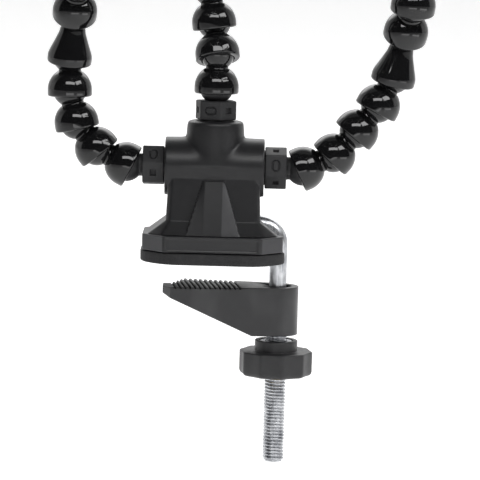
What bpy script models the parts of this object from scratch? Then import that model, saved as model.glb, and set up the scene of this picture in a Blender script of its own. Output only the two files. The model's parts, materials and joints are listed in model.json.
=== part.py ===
"""Helping hands with a bench clamp: a hub on a padded plate, an L-shaped clamp
rod with a jaw and a knob, two jointed arms with spring clips and a third arm
with a magnifier.  Units are metres, +Z is up, the front is -Y, and the
origin is the centre of the pad's underside, on the bench top.
"""
import math

import bmesh
import bpy
from mathutils import Matrix, Vector

MM = 0.001

# Clearances
SEAT_GAP = 0.3 * MM      # between pieces that touch
RUNNING_GAP = 0.15 * MM  # between pieces that turn or slide on each other
CUT_PAST = 2.0 * MM      # how far a cutter runs past the face it opens
WELD = 0.01 * MM         # corners closer than this are one corner

# Hub, a cast tee on a flared foot
BOSS_RADIUS = 10.75 * MM
BOSS_HALF_LENGTH = 18.5 * MM
BOSS_HEIGHT = 35.1 * MM
NECK_TOP = 52.5 * MM
NECK_EDGE = 1.2 * MM
FOOT_HALF_WIDTH = 24.0 * MM
FOOT_HALF_DEPTH = 16.5 * MM
WAIST_HALF_WIDTH = 17.6 * MM
WAIST_HALF_DEPTH = 12.6 * MM
WAIST_HEIGHT = 15.7 * MM
PEDESTAL_HALF_WIDTH = 17.0 * MM
PEDESTAL_CORNER = 1.6 * MM
FOOT_CORNER = 5.0 * MM
RIB_HALF_WIDTH = 3.35 * MM
RIB_TOP = 30.4 * MM
RIB_SPREAD = 6.6 * MM
RIB_PROUD = 0.8 * MM

# Base plate and pad
PLATE_HALF_WIDTH = 26.2 * MM
PLATE_HALF_DEPTH = 18.6 * MM
PLATE_CORNER = 8.2 * MM
PLATE_THICKNESS = 6.0 * MM
PAD_MARGIN = 0.7 * MM
PAD_CORNER = PLATE_CORNER + 1.0 * MM
PAD_THICKNESS = 4.2 * MM
SCREW_PLACES = ((-11.0 * MM, 7.5 * MM), (11.0 * MM, -7.5 * MM))
SCREW_RADIUS = 2.0 * MM
SCREW_HEAD_RADIUS = 3.8 * MM
SCREW_HEAD_HEIGHT = 2.2 * MM
SCREW_LENGTH = 14.0 * MM

# Clamp rod
ROD_X = 24.8 * MM
ROD_HEIGHT = 13.9 * MM
ROD_RADIUS = 3.25 * MM
ROD_BEND_RADIUS = 7.5 * MM
ROD_INNER_END = 7.0 * MM
ROD_BOTTOM = -76.0 * MM
THREAD_RADIUS = 3.95 * MM
THREAD_TOP = -12.0 * MM
SET_SCREW_X = 12.0 * MM
SET_SCREW_RADIUS = 2.0 * MM
SET_SCREW_LENGTH = 7.0 * MM

# Clamp jaw, in plan from the rod's axis
JAW_TOP = -9.2 * MM
JAW_HEIGHT = 18.2 * MM
JAW_BOSS_RADIUS = 7.8 * MM
JAW_FRONT_CORNER = (-40.0 * MM, -12.3 * MM)
JAW_NOSE = (-43.0 * MM, -7.6 * MM)
JAW_BACK_CORNER = (-35.6 * MM, 13.8 * MM)
JAW_NOSE_THICKNESS = 2.7 * MM
JAW_HEEL = 9.4 * MM
RIDGE_COUNT = 14
RIDGE_PITCH = 1.85 * MM
RIDGE_START = -40.2 * MM
RIDGE_DEPTH = 0.7 * MM
RIDGE_TURN = math.radians(8.0)
JAW_RECESS_RADIUS = 5.2 * MM
JAW_RECESS_DEPTH = 0.9 * MM

# Clamp knob
KNOB_COLLAR_TOP = -29.8 * MM
KNOB_COLLAR_HEIGHT = 4.0 * MM
KNOB_COLLAR_RADIUS = 8.0 * MM
KNOB_RADIUS = 13.9 * MM
KNOB_HEIGHT = 9.2 * MM
KNOB_FACETS = 10
KNOB_CORNER_SPREAD = math.radians(2.5)
KNOB_TURN = math.radians(-79.0)
KNOB_LOWER_EDGE = 2.0 * MM
KNOB_UPPER_EDGE = 0.5 * MM
WASHER_RADIUS = 6.0 * MM
WASHER_THICKNESS = 1.2 * MM
INSERT_RADIUS = 5.6 * MM

# Ball-and-socket links
BALL_RADIUS = 6.35 * MM
SOCKET_WALL = 1.95 * MM
DOME_RADIUS = BALL_RADIUS + SOCKET_WALL
RIM_DROP = 2.4 * MM
LINK_SPACING = 1.7 * MM
LINK_PITCH = DOME_RADIUS + RIM_DROP + LINK_SPACING
NECK_RADIUS = 4.2 * MM
BORE_RADIUS = 3.0 * MM
LONG_LINK_PITCH = LINK_PITCH + 5.1 * MM
BELL_SHOULDER = 0.9 * MM
LONG_NECK_RADIUS = 4.9 * MM
LINK_SIDES = 10

# Hub connectors
HEX_ACROSS_CORNERS = 16.0 * MM
SIDE_HEX_LENGTH = 8.0 * MM
SIDE_HEX_TO_BALL = 6.2 * MM
TOP_HEX_LENGTH = 7.0 * MM
TOP_HEX_TO_BALL = 5.0 * MM
STUB_RADIUS = 6.5 * MM
STUB_LENGTH = 10.7 * MM
HEX_TURNS = {"left": 40.5, "right": -12.0, "top": -16.0}

# Spring clips
TIP_LENGTH = 17.0 * MM
TIP_BORE_RADIUS = 2.3 * MM
TIP_BORE_DEPTH = 8.0 * MM
TAIL_RADIUS = 2.0 * MM
CLIP_PIVOT = 31.0 * MM
CLIP_REACH = 30.0 * MM
CLIP_WIDTH = 6.4 * MM
CLIP_DEPTH = 3.4 * MM
SHEET = 0.8 * MM
PIN_RADIUS = 0.9 * MM
TOOTH_COUNT = 7
TOOTH_PITCH = 2.8 * MM
TOOTH_DEPTH = 0.8 * MM
SPRING_RADIUS = 1.75 * MM
SPRING_WIRE = 0.3 * MM
SPRING_TURNS = 2.5
SPRING_LENGTH = 1.6 * MM

# Magnifier
RING_RADIUS = 37.0 * MM
RING_WALL = 5.8 * MM
RING_BORE = RING_RADIUS - RING_WALL
RING_LIP = RING_BORE - 1.6 * MM
RING_HEIGHT = 7.0 * MM
LIP_HEIGHT = 1.2 * MM
LENS_EDGE = 1.6 * MM
LENS_CROWN = 2.0 * MM
TILT_PIVOT = 26.0 * MM
PIVOT_TO_RING = 7.0 * MM
TAB_HALF_WIDTH = 2.0 * MM
TAB_HALF_HEIGHT = 3.2 * MM
FORK_WALL = 2.0 * MM
FORK_HALF_HEIGHT = 4.0 * MM
TILT_SCREW_RADIUS = 1.9 * MM
TILT_HEAD_RADIUS = 5.2 * MM
TILT_HEAD_LENGTH = 5.0 * MM
NUT_ACROSS_CORNERS = 8.0 * MM
NUT_THICKNESS = 3.2 * MM

# How each arm is posed.  Every row is one piece: its name, its angle above the
# outward horizontal, its lean towards -Y (degrees), and whether its joint bends
# the way the arm curves ("curve") or across it ("across").
LEFT_ARM = (
    ("link_1", 26.5, 0.0, "curve"), ("link_2", 51.0, 0.0, "curve"),
    ("link_3", 77.3, 0.0, "curve"), ("link_4", 89.0, 0.0, "across"),
    ("long_link", 96.1, 12.0, "curve"), ("link_5", 97.0, 38.0, "curve"),
    ("link_6", 98.0, 12.0, "curve"), ("link_7", 104.0, 38.0, "across"),
    ("clip_holder", 124.0, 60.0, "curve"))
RIGHT_ARM = (
    ("link_1", 25.0, 0.0, "curve"), ("link_2", 48.0, 0.0, "curve"),
    ("link_3", 51.5, 0.0, "across"), ("link_4", 63.5, 0.0, "curve"),
    ("long_link", 77.3, 10.0, "across"), ("link_5", 79.0, 35.0, "curve"),
    ("link_6", 84.0, 19.0, "curve"), ("link_7", 94.0, 41.0, "across"),
    ("clip_holder", 118.0, 62.0, "curve"))
LENS_ARM = (
    ("link_1", 90.0, 0.0, "curve"), ("link_2", 98.0, -22.0, "curve"),
    ("link_3", 98.0, -1.0, "curve"), ("link_4", 94.0, 4.0, "curve"),
    ("link_5", 90.0, 8.0, "curve"), ("link_6", 89.0, 17.0, "curve"),
    ("link_7", 88.0, 30.0, "across"), ("link_8", 88.0, 46.0, "across"),
    ("holder", 88.0, 68.0, "curve"))

# Places that follow from the sizes above
PLATE_BOTTOM = PAD_THICKNESS + SEAT_GAP
PLATE_TOP = PLATE_BOTTOM + PLATE_THICKNESS
HUB_BOTTOM = PLATE_TOP + SEAT_GAP
KNOB_TOP = KNOB_COLLAR_TOP - KNOB_COLLAR_HEIGHT
KNOB_BOTTOM = KNOB_TOP - KNOB_HEIGHT
CUP_RADIUS = WASHER_RADIUS + SEAT_GAP
CUP_FLOOR = KNOB_COLLAR_TOP - WASHER_THICKNESS - 2 * SEAT_GAP


def material(name, color, roughness, metallic=0.0, transmission=0.0):
    made = bpy.data.materials.new(name)
    made.use_nodes = True
    made.diffuse_color = (*color, 1.0)
    shader = made.node_tree.nodes["Principled BSDF"]
    shader.inputs["Base Color"].default_value = (*color, 1.0)
    shader.inputs["Roughness"].default_value = roughness
    shader.inputs["Metallic"].default_value = metallic
    shader.inputs["Transmission Weight"].default_value = transmission
    return made


def new_object(name, bm):
    """Store a bmesh as a named object at the world's origin."""
    bmesh.ops.recalc_face_normals(bm, faces=bm.faces)
    mesh = bpy.data.meshes.new(name)
    bm.to_mesh(mesh)
    bm.free()
    made = bpy.data.objects.new(name, mesh)
    bpy.context.collection.objects.link(made)
    return made


def finished(made, finish, world=None, parent=None):
    """Give a piece its material, its place and its parent."""
    made.data.materials.clear()
    made.data.materials.append(finish)
    made.data.shade_smooth()
    made.data.set_sharp_from_angle(angle=math.radians(35.0))
    made["world"] = [value for row in (world or Matrix()) for value in row]
    above = parent_world(parent)
    made.parent = parent
    made.matrix_basis = above.inverted() @ (world or Matrix())
    return made


def parent_world(parent):
    if parent is None:
        return Matrix()
    flat = list(parent["world"])
    return Matrix([flat[row:row + 4] for row in range(0, 16, 4)])


def cut_or_join(made, tool, operation):
    """Apply one exact Boolean and throw the tool away."""
    step = made.modifiers.new("step", "BOOLEAN")
    step.operation = operation
    step.solver = "EXACT"
    step.object = tool
    depsgraph = bpy.context.evaluated_depsgraph_get()
    result = bpy.data.meshes.new_from_object(made.evaluated_get(depsgraph))
    made.modifiers.remove(step)
    bm = bmesh.new()
    bm.from_mesh(result)
    bmesh.ops.remove_doubles(bm, verts=bm.verts, dist=WELD)
    bmesh.ops.dissolve_degenerate(bm, edges=bm.edges, dist=WELD / 10.0)
    bm.to_mesh(result)
    bm.free()
    made.data = result
    bpy.data.objects.remove(tool)
    return made


def joined(made, *tools):
    for tool in tools:
        made = cut_or_join(made, tool, "UNION")
    return made


def cut(made, *tools):
    for tool in tools:
        made = cut_or_join(made, tool, "DIFFERENCE")
    return made


def turned(name, profile, sides, matrix=None):
    """Spin an (r, z) profile round Z; a profile off the axis makes a closed ring."""
    bm = bmesh.new()
    verts = [bm.verts.new((radius, 0.0, height)) for radius, height in profile]
    edges = [bm.edges.new(pair) for pair in zip(verts, verts[1:])]
    if profile[0][0] > 0.0:
        edges.append(bm.edges.new((verts[-1], verts[0])))
    bmesh.ops.spin(bm, geom=verts + edges, cent=(0.0, 0.0, 0.0), axis=(0.0, 0.0, 1.0),
                   angle=2.0 * math.pi, steps=sides, use_merge=True)
    bmesh.ops.remove_doubles(bm, verts=bm.verts, dist=1e-6)
    bm.transform(matrix or Matrix())
    return new_object(name, bm)


def rod(name, radius, low, high, sides, matrix=None):
    """A solid cylinder along Z."""
    return turned(name, [(0.0, low), (radius, low), (radius, high), (0.0, high)], sides, matrix)


def box(name, low, high):
    bm = bmesh.new()
    bmesh.ops.create_cube(bm, size=1.0)
    size = Vector(high) - Vector(low)
    bmesh.ops.scale(bm, vec=size, verts=bm.verts)
    bmesh.ops.translate(bm, vec=(Vector(high) + Vector(low)) / 2.0, verts=bm.verts)
    return new_object(name, bm)


def prism(name, outline, low, high, matrix=None):
    """Extrude a flat (x, y) outline along Z from low to high."""
    bm = bmesh.new()
    face = bm.faces.new([bm.verts.new((x, y, low)) for x, y in outline])
    raised = bmesh.ops.extrude_face_region(bm, geom=[face])["geom"]
    tops = [item for item in raised if isinstance(item, bmesh.types.BMVert)]
    bmesh.ops.translate(bm, vec=(0.0, 0.0, high - low), verts=tops)
    bm.transform(matrix or Matrix())
    return new_object(name, bm)


def lofted(name, rings):
    """Skin a stack of rings that have the same number of points."""
    bm = bmesh.new()
    rows = [[bm.verts.new(point) for point in ring] for ring in rings]
    for lower, upper in zip(rows, rows[1:]):
        for here in range(len(lower)):
            after = (here + 1) % len(lower)
            bm.faces.new((lower[here], lower[after], upper[after], upper[here]))
    bm.faces.new(rows[0])
    bm.faces.new(rows[-1])
    return new_object(name, bm)


def swept(name, path, radii, sides):
    """A round bar along a path in one plane or along a helix."""
    rings = []
    for here, point in enumerate(path):
        before = path[max(here - 1, 0)]
        after = path[min(here + 1, len(path) - 1)]
        along = (after - before).normalized()
        turn = along.to_track_quat("Z", "Y").to_matrix()
        rings.append([point + turn @ (Vector((math.cos(angle), math.sin(angle), 0.0)) * radii[here])
                      for angle in (2.0 * math.pi * side / sides for side in range(sides))])
    return lofted(name, rings)


def octagon(half_width, half_depth, corner_x, corner_y=None):
    """A rectangle with its corners cut off, as (x, y) points."""
    corner_y = corner_x if corner_y is None else corner_y
    inner_x = half_width - corner_x
    inner_y = half_depth - corner_y
    return [(inner_x, -half_depth), (half_width, -inner_y), (half_width, inner_y), (inner_x, half_depth),
            (-inner_x, half_depth), (-half_width, inner_y), (-half_width, -inner_y), (-inner_x, -half_depth)]


def arc(radius, start, end, steps, height=0.0):
    """Points of a sphere's profile: (r, z) from one latitude to another, in radians."""
    angles = (start + (end - start) * step / steps for step in range(steps + 1))
    return [(radius * math.cos(angle), height + radius * math.sin(angle)) for angle in angles]


ALONG_X = Matrix.Rotation(math.pi / 2.0, 4, "Y")
ALONG_Y = Matrix.Rotation(-math.pi / 2.0, 4, "X")


def make_hub(finish):
    """Two crossing cylinders on a lofted pedestal, bored for the connectors and the rod."""
    sides = 24
    ring = lambda outline, height: [(x, y, height) for x, y in outline]
    hub = lofted("hub", [
        ring(octagon(FOOT_HALF_WIDTH, FOOT_HALF_DEPTH, FOOT_CORNER), HUB_BOTTOM),
        ring(octagon(WAIST_HALF_WIDTH, WAIST_HALF_DEPTH, PEDESTAL_CORNER), WAIST_HEIGHT),
        ring(octagon(PEDESTAL_HALF_WIDTH, BOSS_RADIUS, PEDESTAL_CORNER), RIB_TOP),
        ring(octagon(PEDESTAL_HALF_WIDTH, BOSS_RADIUS * 0.98, PEDESTAL_CORNER), BOSS_HEIGHT)])
    boss = rod("boss", BOSS_RADIUS, -BOSS_HALF_LENGTH, BOSS_HALF_LENGTH, sides,
               Matrix.Translation((0.0, 0.0, BOSS_HEIGHT)) @ ALONG_X)
    neck = turned("neck", [(0.0, BOSS_HEIGHT), (BOSS_RADIUS, BOSS_HEIGHT),
                           (BOSS_RADIUS, NECK_TOP - NECK_EDGE),
                           (BOSS_RADIUS - NECK_EDGE * 0.3, NECK_TOP - NECK_EDGE * 0.3),
                           (BOSS_RADIUS - NECK_EDGE, NECK_TOP), (0.0, NECK_TOP)], sides)
    rib_foot = FOOT_HALF_DEPTH + RIB_PROUD
    rib_half_foot = RIB_HALF_WIDTH + RIB_SPREAD
    rib_top = BOSS_RADIUS + RIB_PROUD
    rib_half_top = RIB_HALF_WIDTH + RIB_PROUD
    rib = lofted("rib", [
        [(-rib_half_foot, -FOOT_HALF_DEPTH, HUB_BOTTOM), (-RIB_HALF_WIDTH, -rib_foot, HUB_BOTTOM),
         (RIB_HALF_WIDTH, -rib_foot, HUB_BOTTOM), (rib_half_foot, -FOOT_HALF_DEPTH, HUB_BOTTOM),
         (rib_half_foot, 0.0, HUB_BOTTOM), (-rib_half_foot, 0.0, HUB_BOTTOM)],
        [(-rib_half_top, -BOSS_RADIUS, RIB_TOP), (-RIB_HALF_WIDTH, -rib_top, RIB_TOP),
         (RIB_HALF_WIDTH, -rib_top, RIB_TOP), (rib_half_top, -BOSS_RADIUS, RIB_TOP),
         (rib_half_top, 0.0, RIB_TOP), (-rib_half_top, 0.0, RIB_TOP)]])
    joined(hub, boss, neck, rib)

    bore_radius = STUB_RADIUS + SEAT_GAP
    bore_depth = STUB_LENGTH + SEAT_GAP
    for side in (-1.0, 1.0):
        inner = side * (BOSS_HALF_LENGTH - bore_depth)
        outer = side * (BOSS_HALF_LENGTH + CUT_PAST)
        cut(hub, rod("bore", bore_radius, min(inner, outer), max(inner, outer), 16,
                     Matrix.Translation((0.0, 0.0, BOSS_HEIGHT)) @ ALONG_X))
    cut(hub, rod("bore", bore_radius, NECK_TOP - bore_depth, NECK_TOP + CUT_PAST, 16))

    slot = ROD_RADIUS + SEAT_GAP
    cut(hub, rod("rod_bore", slot, ROD_INNER_END - SEAT_GAP, FOOT_HALF_WIDTH, 16,
                 Matrix.Translation((0.0, 0.0, ROD_HEIGHT)) @ ALONG_X),
        box("rod_slot", (ROD_X - ROD_BEND_RADIUS, -slot, HUB_BOTTOM - CUT_PAST),
            (FOOT_HALF_WIDTH + CUT_PAST, slot, ROD_HEIGHT + slot)))
    for x, y in SCREW_PLACES:
        top = PLATE_BOTTOM + SEAT_GAP + SCREW_LENGTH + SEAT_GAP
        cut(hub, rod("screw_bore", SCREW_RADIUS + SEAT_GAP, HUB_BOTTOM - CUT_PAST, top, 12,
                     Matrix.Translation((x, y, 0.0))))
    cut(hub, rod("set_screw_bore", SET_SCREW_RADIUS + SEAT_GAP, ROD_RADIUS * 0.5,
                 FOOT_HALF_DEPTH + CUT_PAST, 12,
                 Matrix.Translation((SET_SCREW_X, 0.0, ROD_HEIGHT)) @ ALONG_Y))
    return finished(hub, finish)


def make_base(plastic, rubber, steel):
    """The plate under the hub, its pad, and the screws that hold the hub and the rod."""
    notch_half = ROD_RADIUS + 2 * SEAT_GAP
    plate = prism("base_plate", octagon(PLATE_HALF_WIDTH, PLATE_HALF_DEPTH, PLATE_CORNER),
                  PLATE_BOTTOM, PLATE_TOP)
    pad_half_width = PLATE_HALF_WIDTH + PAD_MARGIN
    pad = prism("base_pad", octagon(pad_half_width, PLATE_HALF_DEPTH + PAD_MARGIN, PAD_CORNER),
                0.0, PAD_THICKNESS)
    for piece, inner in ((plate, ROD_X - ROD_BEND_RADIUS), (pad, ROD_X - ROD_RADIUS - 2 * SEAT_GAP)):
        cut(piece, box("rod_notch", (inner, -notch_half, -CUT_PAST),
                       (pad_half_width + CUT_PAST, notch_half, PLATE_TOP + CUT_PAST)))
    screws = []
    head_low = PLATE_BOTTOM + SEAT_GAP
    for x, y in SCREW_PLACES:
        place = Matrix.Translation((x, y, 0.0))
        cone = SEAT_GAP * math.sqrt(2.0)
        cut(plate, turned("countersink", [
            (0.0, PLATE_BOTTOM - CUT_PAST), (SCREW_HEAD_RADIUS + cone, PLATE_BOTTOM - CUT_PAST),
            (SCREW_HEAD_RADIUS + cone, head_low), (SCREW_RADIUS + cone, head_low + SCREW_HEAD_HEIGHT),
            (SCREW_RADIUS + cone, PLATE_TOP + CUT_PAST), (0.0, PLATE_TOP + CUT_PAST)], 12, place))
        name = "base_screw_left" if x < 0.0 else "base_screw_right"
        screws.append(turned(name, [
            (0.0, head_low), (SCREW_HEAD_RADIUS, head_low), (SCREW_RADIUS, head_low + SCREW_HEAD_HEIGHT),
            (SCREW_RADIUS, head_low + SCREW_LENGTH), (0.0, head_low + SCREW_LENGTH)], 12, place))
    set_screw = rod("rod_set_screw", SET_SCREW_RADIUS, ROD_RADIUS + SEAT_GAP,
                    ROD_RADIUS + SEAT_GAP + SET_SCREW_LENGTH, 12,
                    Matrix.Translation((SET_SCREW_X, 0.0, ROD_HEIGHT)) @ ALONG_Y)
    finished(plate, plastic)
    finished(pad, rubber)
    for screw in (*screws, set_screw):
        finished(screw, steel)


def make_rod(finish):
    """A bar from inside the hub, round its bend and down through the clamp."""
    bend_centre = Vector((ROD_X - ROD_BEND_RADIUS, 0.0, ROD_HEIGHT - ROD_BEND_RADIUS))
    path = [Vector((ROD_INNER_END, 0.0, ROD_HEIGHT))]
    bend_steps = 8
    for step in range(bend_steps + 1):
        angle = math.pi / 2.0 * (1.0 - step / bend_steps)
        path.append(bend_centre + ROD_BEND_RADIUS * Vector((math.cos(angle), 0.0, math.sin(angle))))
    radii = [ROD_RADIUS] * len(path)
    run_out = THREAD_RADIUS - ROD_RADIUS
    for height, radius in ((THREAD_TOP, ROD_RADIUS), (THREAD_TOP - run_out, THREAD_RADIUS),
                           (ROD_BOTTOM + run_out, THREAD_RADIUS), (ROD_BOTTOM, ROD_RADIUS)):
        path.append(Vector((ROD_X, 0.0, height)))
        radii.append(radius)
    return finished(swept("clamp_rod", path, radii, 16), finish)


def make_clamp(plastic, steel, brass):
    """Washer, jaw and knob on the rod; the washer carries both, so both slide with it."""
    place = Matrix.Translation((ROD_X, 0.0, 0.0))
    bore = THREAD_RADIUS + SEAT_GAP
    thread_bore = THREAD_RADIUS + RUNNING_GAP
    washer_low = CUP_FLOOR + SEAT_GAP
    washer = turned("clamp_washer", [(bore, washer_low), (WASHER_RADIUS, washer_low),
                                     (WASHER_RADIUS, washer_low + WASHER_THICKNESS),
                                     (bore, washer_low + WASHER_THICKNESS)], 16)
    finished(washer, steel, place)

    jaw_low = JAW_TOP - JAW_HEIGHT
    front, nose, back = JAW_FRONT_CORNER, JAW_NOSE, JAW_BACK_CORNER
    jaw = prism("clamp_jaw", [(0.0, -JAW_BOSS_RADIUS), (0.0, JAW_BOSS_RADIUS), back, nose, front],
                jaw_low, JAW_TOP)
    joined(jaw, rod("jaw_boss", JAW_BOSS_RADIUS, jaw_low, JAW_TOP, 24))
    past = nose[0] - CUT_PAST
    nose_low = JAW_TOP - JAW_NOSE_THICKNESS
    slope = (nose_low - jaw_low) / (-JAW_HEEL - nose[0])
    below = jaw_low - CUT_PAST
    under = prism("jaw_slope", [(-JAW_HEEL, jaw_low), (-JAW_HEEL, below), (past, below),
                                (past, nose_low + slope * CUT_PAST)],
                  -3 * JAW_BOSS_RADIUS, 3 * JAW_BOSS_RADIUS,
                  Matrix.Rotation(math.pi / 2.0, 4, "X"))
    cut(jaw, under, rod("jaw_bore", bore, jaw_low - CUT_PAST, JAW_TOP + CUT_PAST, 16),
        rod("jaw_recess", JAW_RECESS_RADIUS, JAW_TOP - JAW_RECESS_DEPTH, JAW_TOP + CUT_PAST, 16))
    for groove in range(RIDGE_COUNT):
        centre = RIDGE_START + (groove + 0.5) * RIDGE_PITCH
        half = RIDGE_PITCH / 4.0
        profile = [(centre - half, JAW_TOP - RIDGE_DEPTH), (centre + half, JAW_TOP - RIDGE_DEPTH),
                   (centre + 1.6 * half, JAW_TOP + CUT_PAST), (centre - 1.6 * half, JAW_TOP + CUT_PAST)]
        cut(jaw, prism("groove", profile, -3 * JAW_BOSS_RADIUS, 3 * JAW_BOSS_RADIUS,
                       Matrix.Rotation(RIDGE_TURN, 4, "Z") @ Matrix.Rotation(math.pi / 2.0, 4, "X")))
    finished(jaw, plastic, place, washer)

    def facets(inset, height):
        ring = []
        for corner in range(KNOB_FACETS):
            middle = KNOB_TURN + 2.0 * math.pi * corner / KNOB_FACETS
            for angle in (middle - KNOB_CORNER_SPREAD, middle + KNOB_CORNER_SPREAD):
                radius = KNOB_RADIUS - inset
                ring.append((radius * math.cos(angle), radius * math.sin(angle), height))
        return ring

    knob = lofted("clamp_knob", [facets(KNOB_LOWER_EDGE, KNOB_BOTTOM),
                                 facets(0.0, KNOB_BOTTOM + KNOB_LOWER_EDGE),
                                 facets(0.0, KNOB_TOP - KNOB_UPPER_EDGE), facets(KNOB_UPPER_EDGE, KNOB_TOP)])
    joined(knob, rod("collar", KNOB_COLLAR_RADIUS, KNOB_BOTTOM + KNOB_LOWER_EDGE, KNOB_COLLAR_TOP, 24))
    cut(knob, rod("knob_bore", bore, KNOB_BOTTOM - CUT_PAST, KNOB_COLLAR_TOP + CUT_PAST, 16),
        rod("cup", CUP_RADIUS, CUP_FLOOR, KNOB_COLLAR_TOP + CUT_PAST, 16),
        rod("insert_pocket", INSERT_RADIUS + SEAT_GAP, KNOB_BOTTOM - CUT_PAST, KNOB_TOP, 16))
    finished(knob, plastic, place, washer)
    insert_low = KNOB_BOTTOM + SEAT_GAP
    insert_high = KNOB_TOP - SEAT_GAP
    insert = turned("knob_insert", [(thread_bore, insert_low), (INSERT_RADIUS, insert_low),
                                    (INSERT_RADIUS, insert_high), (thread_bore, insert_high)], 16)
    finished(insert, brass, place, knob)


def socket_profile(top):
    """The inside of a socket, from its bore at the given height down to its rim."""
    steps = 3
    span = math.radians(84.0)
    facet = math.cos(math.pi / LINK_SIDES) * math.cos(span / steps / 2.0)
    radius = (BALL_RADIUS + RUNNING_GAP) / facet
    inner = arc(radius, math.acos(BORE_RADIUS / radius), -math.asin(RIM_DROP / radius), steps)
    return [(BORE_RADIUS, top)] + inner


def ball_profile(height):
    """A bored ball from its neck to its top."""
    neck, mouth = math.acos(NECK_RADIUS / BALL_RADIUS), math.acos(BORE_RADIUS / BALL_RADIUS)
    return arc(BALL_RADIUS, -neck, mouth, 4, height)


def link_profile():
    """An upright skirt under a dome, with a ball on top and a socket inside."""
    dome = [(DOME_RADIUS, -RIM_DROP)] + arc(DOME_RADIUS, 0.0, math.acos(NECK_RADIUS / DOME_RADIUS), 3)
    return dome + ball_profile(LINK_PITCH) + socket_profile(LINK_PITCH)[1:]


def bell_profile(neck_radius, neck_height):
    """A socket bell whose wall runs in a slightly hollow line to a narrow neck."""
    waist = (neck_radius + (DOME_RADIUS - neck_radius) * 0.43, neck_height * 0.58)
    return [(DOME_RADIUS, -RIM_DROP), (DOME_RADIUS, BELL_SHOULDER), waist, (neck_radius, neck_height)]


def long_link_profile():
    ball_foot = LONG_LINK_PITCH - math.sqrt(BALL_RADIUS ** 2 - NECK_RADIUS ** 2)
    bell = bell_profile(LONG_NECK_RADIUS, ball_foot - 3.2 * MM)
    return bell + [(NECK_RADIUS, ball_foot - 0.6 * MM)] + ball_profile(LONG_LINK_PITCH) \
        + socket_profile(LONG_LINK_PITCH)[1:]


def connector_frame(where):
    """The place of a connector: its origin is its ball's centre, its Z points outwards."""
    if where == "top":
        reach = SEAT_GAP + TOP_HEX_LENGTH + TOP_HEX_TO_BALL
        return Matrix.Translation((0.0, 0.0, NECK_TOP + reach))
    reach = SEAT_GAP + SIDE_HEX_LENGTH + SIDE_HEX_TO_BALL
    side = 1.0 if where == "right" else -1.0
    return Matrix.Translation((side * (BOSS_HALF_LENGTH + reach), 0.0, BOSS_HEIGHT)) \
        @ Matrix.Rotation(side * math.pi / 2.0, 4, "Y")


def make_connector(where, finish):
    """A bored ball on a hexagon, with a stub that goes into the hub."""
    name = "connector_" + where
    hex_high = -TOP_HEX_TO_BALL if where == "top" else -SIDE_HEX_TO_BALL
    hex_low = hex_high - (TOP_HEX_LENGTH if where == "top" else SIDE_HEX_LENGTH)
    stub_low = hex_low - SEAT_GAP - STUB_LENGTH
    body = turned(name, [(0.0, stub_low), (STUB_RADIUS, stub_low), (STUB_RADIUS, hex_low),
                         (NECK_RADIUS, hex_low)] + ball_profile(0.0)
                  + [(0.0, ball_profile(0.0)[-1][1])], LINK_SIDES)
    joined(body, rod("hexagon", HEX_ACROSS_CORNERS / 2.0, hex_low, hex_high, 6,
                     Matrix.Rotation(math.radians(HEX_TURNS[where]), 4, "Z")))
    cut(body, rod("waterway", BORE_RADIUS, stub_low - CUT_PAST, BALL_RADIUS + CUT_PAST, LINK_SIDES))
    return finished(body, finish, connector_frame(where))


def direction(side, raised, lean):
    """A unit vector from an angle above the outward horizontal and a lean towards -Y."""
    raised, lean = math.radians(raised), math.radians(lean)
    level = math.cos(lean)
    return Vector((side * math.cos(raised) * level, -math.sin(lean), math.sin(raised) * level))


def joint_frame(origin, before, along, kind, flip):
    """A piece's frame: its Z runs along the piece and its X is its joint's axis."""
    curve = before.cross(along)
    if curve.length < math.sin(math.radians(0.5)):
        curve = along.cross(Vector((0.0, 1.0, 0.0)))
    axis = curve.normalized()
    if kind == "across":
        axis = along.cross(axis).normalized()
    axis = axis * flip
    frame = Matrix((axis, along.cross(axis), along)).transposed().to_4x4()
    frame.translation = origin
    return frame


def make_arm(prefix, side, where, rows, makers):
    """Walk along an arm, and set each piece on the ball of the one before."""
    start = connector_frame(where)
    origin = start.translation
    before = start.to_3x3() @ Vector((0.0, 0.0, 1.0))
    parent = bpy.data.objects["connector_" + where]
    flip = 1.0
    for name, raised, lean, kind in rows:
        along = direction(side, raised, lean)
        frame = joint_frame(origin, before, along, kind, flip)
        maker, pitch = makers["link" if name.startswith("link") else name]
        parent = maker(prefix + "_" + name, frame, parent)
        origin = origin + along * pitch
        before = along
        flip = -flip
    return parent, frame


def link_maker(profile, finish):
    """Every link of a kind shares one mesh."""
    mesh = turned("link_pattern", profile, LINK_SIDES).data
    bpy.data.objects.remove(bpy.data.objects["link_pattern"])

    def place_link(name, frame, parent):
        made = bpy.data.objects.new(name, mesh)
        bpy.context.collection.objects.link(made)
        return finished(made, finish, frame, parent)

    return place_link


def make_clip_holder(finish):
    """A socket bell whose tip is bored for the clip's tail."""
    inside = socket_profile(TIP_LENGTH)
    tip = [(NECK_RADIUS, TIP_LENGTH), (TIP_BORE_RADIUS, TIP_LENGTH),
           (TIP_BORE_RADIUS, TIP_LENGTH - TIP_BORE_DEPTH)]
    profile = bell_profile(NECK_RADIUS, TIP_LENGTH - TIP_BORE_DEPTH) + tip \
        + [(TIP_BORE_RADIUS, inside[1][1])] + inside[1:]

    def place_holder(name, frame, parent):
        return finished(turned(name, profile, LINK_SIDES), finish, frame, parent)

    return place_holder


# Sheet-metal profiles lie in a plane where x runs along the clip from its pin and
# y is the way the jaw opens; this turns them upright, with their width along X.
CLIP_UPRIGHT = Matrix(((0.0, 0.0, 1.0), (0.0, 1.0, 0.0), (1.0, 0.0, 0.0))).to_4x4()


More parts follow.
